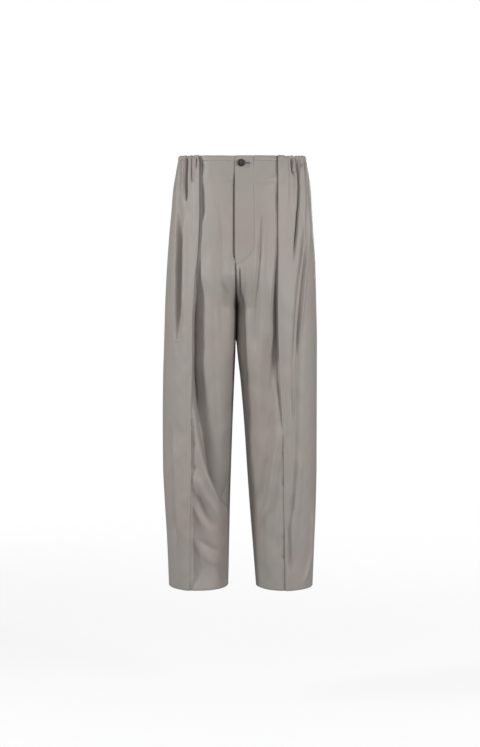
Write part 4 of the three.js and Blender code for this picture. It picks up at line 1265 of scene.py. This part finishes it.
class TrousersTrimSettings(bpy.types.PropertyGroup):
    """The button and the thread."""

    button_diameter: bpy.props.FloatProperty(
        name="Button diameter", description="Across the rim of the button",
        default=0.0176, min=0.01, max=0.03, unit="LENGTH",
    )
    button_thickness: bpy.props.FloatProperty(
        name="Button thickness", description="From the back to the rim",
        default=0.0032, min=0.002, max=0.006, unit="LENGTH",
    )
    button_colour: colour_property("Button colour", "Dark colour of the button", "#1f1b19")
    button_light: colour_property("Button clouds", "Lighter clouds in the button", "#3a332f")
    thread_colour: colour_property("Thread colour", "Colour of the sewing thread", "#6f6963")
    # The slit colour is painted shadow, the dark of the buttonhole's opening.
    slit_shadow_colour: colour_property("Slit colour", "Colour of the dark gimp in the buttonhole", "#1f1b19")


class TrousersStageSettings(bpy.types.PropertyGroup):
    """Floor, lights and camera."""

    floor_height: bpy.props.FloatProperty(
        name="Floor height", description="Height of the floor under the hanging trousers",
        default=-1.32, unit="LENGTH",
    )
    floor_colour: colour_property("Floor colour", "Colour of the floor", "#f6f6f6")
    air_light: bpy.props.FloatProperty(
        name="Air light", description="How much even light comes from all round",
        default=0.18, min=0.0, max=2.0,
    )
    key_power: bpy.props.FloatProperty(
        name="Key light", description="Power of the large front light",
        default=62.0, min=0.0, unit="POWER",
    )
    camera_distance: bpy.props.FloatProperty(
        name="Camera distance", description="From the camera to the plane of the side seams",
        default=4.2, min=1.0, unit="LENGTH",
    )


# ---------------------------------------------------------------- operators

class TROUSERS_OT_materials(bpy.types.Operator):
    """Makes the cloth, thread and button materials"""

    bl_idname = "trousers.materials"
    bl_label = "Materials"

    def execute(self, context):
        cloth, trim = context.scene.trousers_cloth, context.scene.trousers_trim
        face = (cloth.green_colour, cloth.colour, cloth.mauve_colour)
        cloth_material("satin_cloth", *face, cloth.roughness, 0.06)
        cloth_material("satin_reverse", cloth.colour, cloth.mauve_colour, cloth.mauve_colour, 0.68, 0.1)
        thread_material("sewing_thread", trim.thread_colour)
        # This material paints the shadow in the buttonhole's slit.
        thread_material("painted_slit_shadow", trim.slit_shadow_colour)
        button_material(trim.button_colour, trim.button_light)
        return {"FINISHED"}


class BothHalves:
    """Runs an operator's builders on the right half and then on the left."""

    def execute(self, context):
        for half in (RIGHT, LEFT):
            for build in self.builders:
                build(half, context.scene.trousers_cloth)
        return {"FINISHED"}


class TROUSERS_OT_front_panels(BothHalves, bpy.types.Operator):
    """Builds both front panels with their long folds"""

    bl_idname = "trousers.front_panels"
    bl_label = "Front panels"

    builders = (build_front_panel,)


class TROUSERS_OT_front_bands(BothHalves, bpy.types.Operator):
    """Builds the flat band on both fronts"""

    bl_idname = "trousers.front_bands"
    bl_label = "Front bands"

    builders = (build_front_band,)


class TROUSERS_OT_side_panels(BothHalves, bpy.types.Operator):
    """Builds both side panels, each with its pleat turned under"""

    bl_idname = "trousers.side_panels"
    bl_label = "Side panels"

    builders = (build_side_panel,)


class TROUSERS_OT_back_panels(BothHalves, bpy.types.Operator):
    """Builds both back panels with their gathers"""

    bl_idname = "trousers.back_panels"
    bl_label = "Back panels"

    builders = (build_back_panel,)


class TROUSERS_OT_casings(BothHalves, bpy.types.Operator):
    """Builds the gathered elastic casings at the sides and back"""

    bl_idname = "trousers.casings"
    bl_label = "Elastic casings"

    builders = (build_side_casing, build_back_casing)


class TROUSERS_OT_fly(bpy.types.Operator):
    """Builds the facing and the shield behind the fly"""

    bl_idname = "trousers.fly"
    bl_label = "Fly layers"

    def execute(self, context):
        build_fly_layers()
        return {"FINISHED"}


class TROUSERS_OT_stitching(bpy.types.Operator):
    """Sews the visible stitch lines"""

    bl_idname = "trousers.stitching"
    bl_label = "Stitch lines"

    def execute(self, context):
        for name, half, line, out in STITCH_LINES:
            stitched_line(name, half, line, out, context.scene.trousers_cloth)
        return {"FINISHED"}


def button_place():
    """Point on the worn shape at the button, and the direction out of it."""
    z = np.array([BUTTON_Z])
    share = share_at_x(LEFT, np.array([BUTTON_X]), z)
    return Vector(form(LEFT, share, z)[0]), Vector(form_normal(LEFT, share, z)[0])


def select_top_faces(mesh):
    """In edit mode, selects the faces that look up."""
    edit = bmesh.from_edit_mesh(mesh)
    for face in edit.faces:
        face.select_set(face.normal.z > 0.9)
    edit.select_flush_mode()
    bmesh.update_edit_mesh(mesh)


class TROUSERS_OT_button(bpy.types.Operator):
    """Turns the four-hole button with its raised rim, and sews it on"""

    bl_idname = "trousers.button"
    bl_label = "Button"

    def execute(self, context):
        trim = context.scene.trousers_trim
        place, normal = button_place()
        back = FLY_STEP + BUTTON_CLEAR + SHANK_RISE
        button = self.turned(context, trim)
        for across, up in ((1, 1), (1, -1), (-1, 1), (-1, -1)):
            self.drill(context, button, across * HOLE_PLACE * MM, up * HOLE_PLACE * MM)
        centre = (place + normal * back) * MM + normal * trim.button_thickness / 2
        self.set_down(context, button, centre, normal)
        button.data.materials.append(material_named("dark_button"))
        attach(button, "root")
        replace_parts(button, "button")
        dish = back + trim.button_thickness / MM - DISH_DEPTH
        self.sew_bars(place, normal, dish)
        self.wind_shank(place, normal, back)
        return {"FINISHED"}

    def turned(self, context, trim):
        """A disc with a raised, rounded rim and a dished middle."""
        bpy.ops.object.select_all(action="DESELECT")
        bpy.ops.mesh.primitive_cylinder_add(
            vertices=64, radius=trim.button_diameter / 2, depth=trim.button_thickness, location=(0, 0, 0),
        )
        button = context.object
        button.name = "horn_button"
        button.data.name = "horn_button"
        bpy.ops.object.mode_set(mode="EDIT")
        bpy.ops.mesh.select_mode(type="FACE")
        select_top_faces(button.data)
        bpy.ops.mesh.inset(thickness=RIM_WIDTH * MM)
        for slope, drop in DISH_STEPS:
            bpy.ops.mesh.inset(thickness=slope * MM)
            bpy.ops.transform.translate(value=(0, 0, -drop * MM))
        bpy.ops.object.mode_set(mode="OBJECT")
        bevel = button.modifiers.new("rim", "BEVEL")
        bevel.width = RIM_ROUND * MM
        bevel.segments = 3
        bevel.limit_method = "ANGLE"
        bevel.angle_limit = math.radians(25)
        bpy.ops.object.modifier_apply(modifier="rim")
        return button

    def drill(self, context, button, x, y):
        """Cuts one thread hole."""
        bpy.ops.mesh.primitive_cylinder_add(
            vertices=20, radius=HOLE_RADIUS * MM, depth=0.01, location=(x, y, 0),
        )
        bit = context.object
        context.view_layer.objects.active = button
        cut = button.modifiers.new("hole", "BOOLEAN")
        cut.operation = "DIFFERENCE"
        cut.solver = "EXACT"
        cut.object = bit
        bpy.ops.object.modifier_apply(modifier="hole")
        bpy.data.objects.remove(bit, do_unlink=True)

    def set_down(self, context, button, centre, normal):
        """Turns the button to face along the normal and moves it to its place."""
        bpy.ops.object.select_all(action="DESELECT")
        button.select_set(True)
        context.view_layer.objects.active = button
        bpy.ops.object.shade_smooth_by_angle(angle=math.radians(35))
        button.rotation_mode = "QUATERNION"
        button.rotation_quaternion = Vector((0, 0, 1)).rotation_difference(normal)
        button.location = centre
        bpy.ops.object.transform_apply(location=True, rotation=True, scale=True)

    def sew_bars(self, place, normal, dish):
        """Thread in two bars over the dish of the button."""
        side, up = across_and_up(normal)
        rises = [row * HOLE_PLACE + strand for row in (-1, 1) for strand in BAR_STRANDS]
        places = [place + up * rise + normal * (dish + BAR_RISE) for rise in rises]
        stitch_run("button_thread", places, [side] * len(places), [normal] * len(places), 4.6, 0.62)

    def wind_shank(self, place, normal, back):
        """Four strands that run in under the holes, and thread wound round them down to the shield."""
        side, up = across_and_up(normal)
        places, directions, normals = [], [], []
        for across in (-HOLE_PLACE, HOLE_PLACE):
            for row in (-HOLE_PLACE, HOLE_PLACE):
                inwards = side * across * SHANK_INWARDS + up * row * SHANK_INWARDS
                places.append(place + inwards + normal * (back + 0.9))
                directions.append(normal + side * across * SHANK_SLOPE + up * row * SHANK_SLOPE)
                normals.append(side)
        for k in range(SHANK_TURNS):
            places.append(place + normal * (SHIELD_LEVEL + 1.2 + k * SHANK_SPACING))
            directions.append(side)
            normals.append(normal)
        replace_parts(stitch_run("button_shank_thread", places, directions, normals, 3.4, 1.3), "button_shank")


def across_and_up(normal):
    """Two directions in the plane of the button, to the wearer's left and up."""
    side = Vector((1, 0, 0)) - normal * normal.x
    side.normalize()
    return side, normal.cross(side)


class TROUSERS_OT_buttonhole(bpy.types.Operator):
    """Works the buttonhole with close stitches and a bar at its end"""

    bl_idname = "trousers.buttonhole"
    bl_label = "Buttonhole"

    def execute(self, context):
        settings = context.scene.trousers_cloth
        places, directions, normals = [], [], []
        x = np.arange(*SLIT, EDGE_SPACING)
        bar_z = BUTTON_Z + np.arange(-1.9, 2.0, 0.6)
        rows = [
            (x, np.full_like(x, BUTTON_Z - EDGE_OUT), 0.12, (0, 0, 1)),
            (x, np.full_like(x, BUTTON_Z + EDGE_OUT), 0.12, (0, 0, 1)),
            (np.full_like(bar_z, SLIT[1] + 0.5), bar_z, 0.2, (1, 0, 0)),
        ]
        for row_x, row_z, out, direction in rows:
            place, normal = on_front(LEFT, row_x, row_z, out, settings)
            places += list(place)
            normals += list(normal)
            directions += [direction] * len(place)
        rim = stitch_run("buttonhole_thread", places, directions, normals, 1.7, EDGE_SPACING)
        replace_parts(rim, "buttonhole_stitching")
        # A row of dark stitches along the slit paints the shadow of its opening.
        gap_x = np.arange(SLIT[0], SLIT[1] - 0.4, 0.8)
        place, normal = on_front(LEFT, gap_x, np.full_like(gap_x, BUTTON_Z), 0.05, settings)
        along = [(1, 0, 0)] * len(place)
        stitch_run("buttonhole_slit_shadow", place, along, normal, 1.7, 0.42, "painted_slit_shadow")
        return {"FINISHED"}


class TROUSERS_OT_stage(bpy.types.Operator):
    """Sets the floor, the soft lights, the air and the camera"""

    bl_idname = "trousers.stage"
    bl_label = "Stage"

    def execute(self, context):
        stage = context.scene.trousers_stage
        floor = self.floor(context, stage)
        lights = [self.light(*row, stage.key_power) for row in LIGHTS]
        camera = self.camera(context, stage)
        self.world(context, stage)
        return {"FINISHED"}

    def floor(self, context, stage):
        """A round pale floor, whose edge fades into the pale air of the studio."""
        bpy.ops.object.select_all(action="DESELECT")
        bpy.ops.mesh.primitive_circle_add(
            vertices=96, radius=FLOOR_RADIUS, fill_type="NGON", location=(0, 0, 0),
        )
        floor = context.object
        floor.name = "studio_floor"
        floor.location = (0.0, 0.0, stage.floor_height)
        bpy.ops.object.transform_apply(location=True, rotation=True, scale=True)
        floor_material("pale_studio_floor", stage.floor_colour)
        floor.data.materials.append(material_named("pale_studio_floor"))
        return floor

    def light(self, name, place, target, size, share, key_power):
        """A soft rectangular light that points at a target."""
        data = bpy.data.lights.new(name, "AREA")
        data.shape = "RECTANGLE"
        data.size, data.size_y = size
        data.energy = key_power * share
        lamp = linked(name, data)
        lamp.location = place
        lamp.rotation_euler = (Vector(target) - Vector(place)).to_track_quat("-Z", "Y").to_euler()
        return lamp

    def camera(self, context, stage):
        data = bpy.data.cameras.new("camera")
        data.sensor_fit = "VERTICAL"
        data.sensor_height = SENSOR
        data.lens = LENS
        data.clip_end = 100.0
        camera = linked("camera", data)
        camera.location = (CAMERA_X, -stage.camera_distance, CAMERA_HEIGHT)
        target = Vector((CAMERA_X, 0.0, AIM_HEIGHT))
        camera.rotation_euler = (target - camera.location).to_track_quat("-Z", "Y").to_euler()
        context.scene.camera = camera
        return camera

    def world(self, context, stage):
        """Pale air: white to look at, but only a little even light on the trousers."""
        world = bpy.data.worlds.new("studio_air")
        world.use_nodes = True
        tree = world.node_tree
        tree.nodes.clear()
        path = node(tree, "ShaderNodeLightPath")
        even = node(tree, "ShaderNodeBackground", {"Color": linear("#f4f6fa"), "Strength": stage.air_light})
        seen = node(tree, "ShaderNodeBackground", {"Color": linear("#ffffff"), "Strength": 1.0})
        mixed = node(tree, "ShaderNodeMixShader", links={
            0: path.outputs["Is Camera Ray"],
            1: even.outputs["Background"],
            2: seen.outputs["Background"],
        })
        node(tree, "ShaderNodeOutputWorld", links={"Surface": mixed.outputs["Shader"]})
        context.scene.world = world
        context.scene.view_settings.view_transform = "Standard"


class TROUSERS_PT_build(bpy.types.Panel):
    """Buttons that build the trousers piece by piece"""

    bl_idname = "TROUSERS_PT_build"
    bl_label = "Pleated trousers"
    bl_space_type = "VIEW_3D"
    bl_region_type = "UI"
    bl_category = "Trousers"

    def draw(self, context):
        layout = self.layout
        for name in SETTINGS:
            group = getattr(context.scene, name)
            box = layout.box()
            for setting in type(group).__annotations__:
                box.prop(group, setting)
        for operator in BUILD_ORDER:
            layout.operator(operator.bl_idname)


SETTINGS = {
    "trousers_cloth": TrousersClothSettings,
    "trousers_trim": TrousersTrimSettings,
    "trousers_stage": TrousersStageSettings,
}
BUILD_ORDER = (
    TROUSERS_OT_materials,
    TROUSERS_OT_front_panels,
    TROUSERS_OT_front_bands,
    TROUSERS_OT_side_panels,
    TROUSERS_OT_back_panels,
    TROUSERS_OT_casings,
    TROUSERS_OT_fly,
    TROUSERS_OT_stitching,
    TROUSERS_OT_button,
    TROUSERS_OT_buttonhole,
    TROUSERS_OT_stage,
)


def register():
    for group in SETTINGS.values():
        bpy.utils.register_class(group)
    for name, group in SETTINGS.items():
        setattr(bpy.types.Scene, name, bpy.props.PointerProperty(type=group))
    for operator in BUILD_ORDER:
        bpy.utils.register_class(operator)
    bpy.utils.register_class(TROUSERS_PT_build)


def unregister():
    bpy.utils.unregister_class(TROUSERS_PT_build)
    for operator in reversed(BUILD_ORDER):
        bpy.utils.unregister_class(operator)
    for name, group in SETTINGS.items():
        delattr(bpy.types.Scene, name)
        bpy.utils.unregister_class(group)


def main():
    register()
    for operator in BUILD_ORDER:
        family, name = operator.bl_idname.split(".")
        getattr(getattr(bpy.ops, family), name)()


if __name__ == "__main__":
    main()
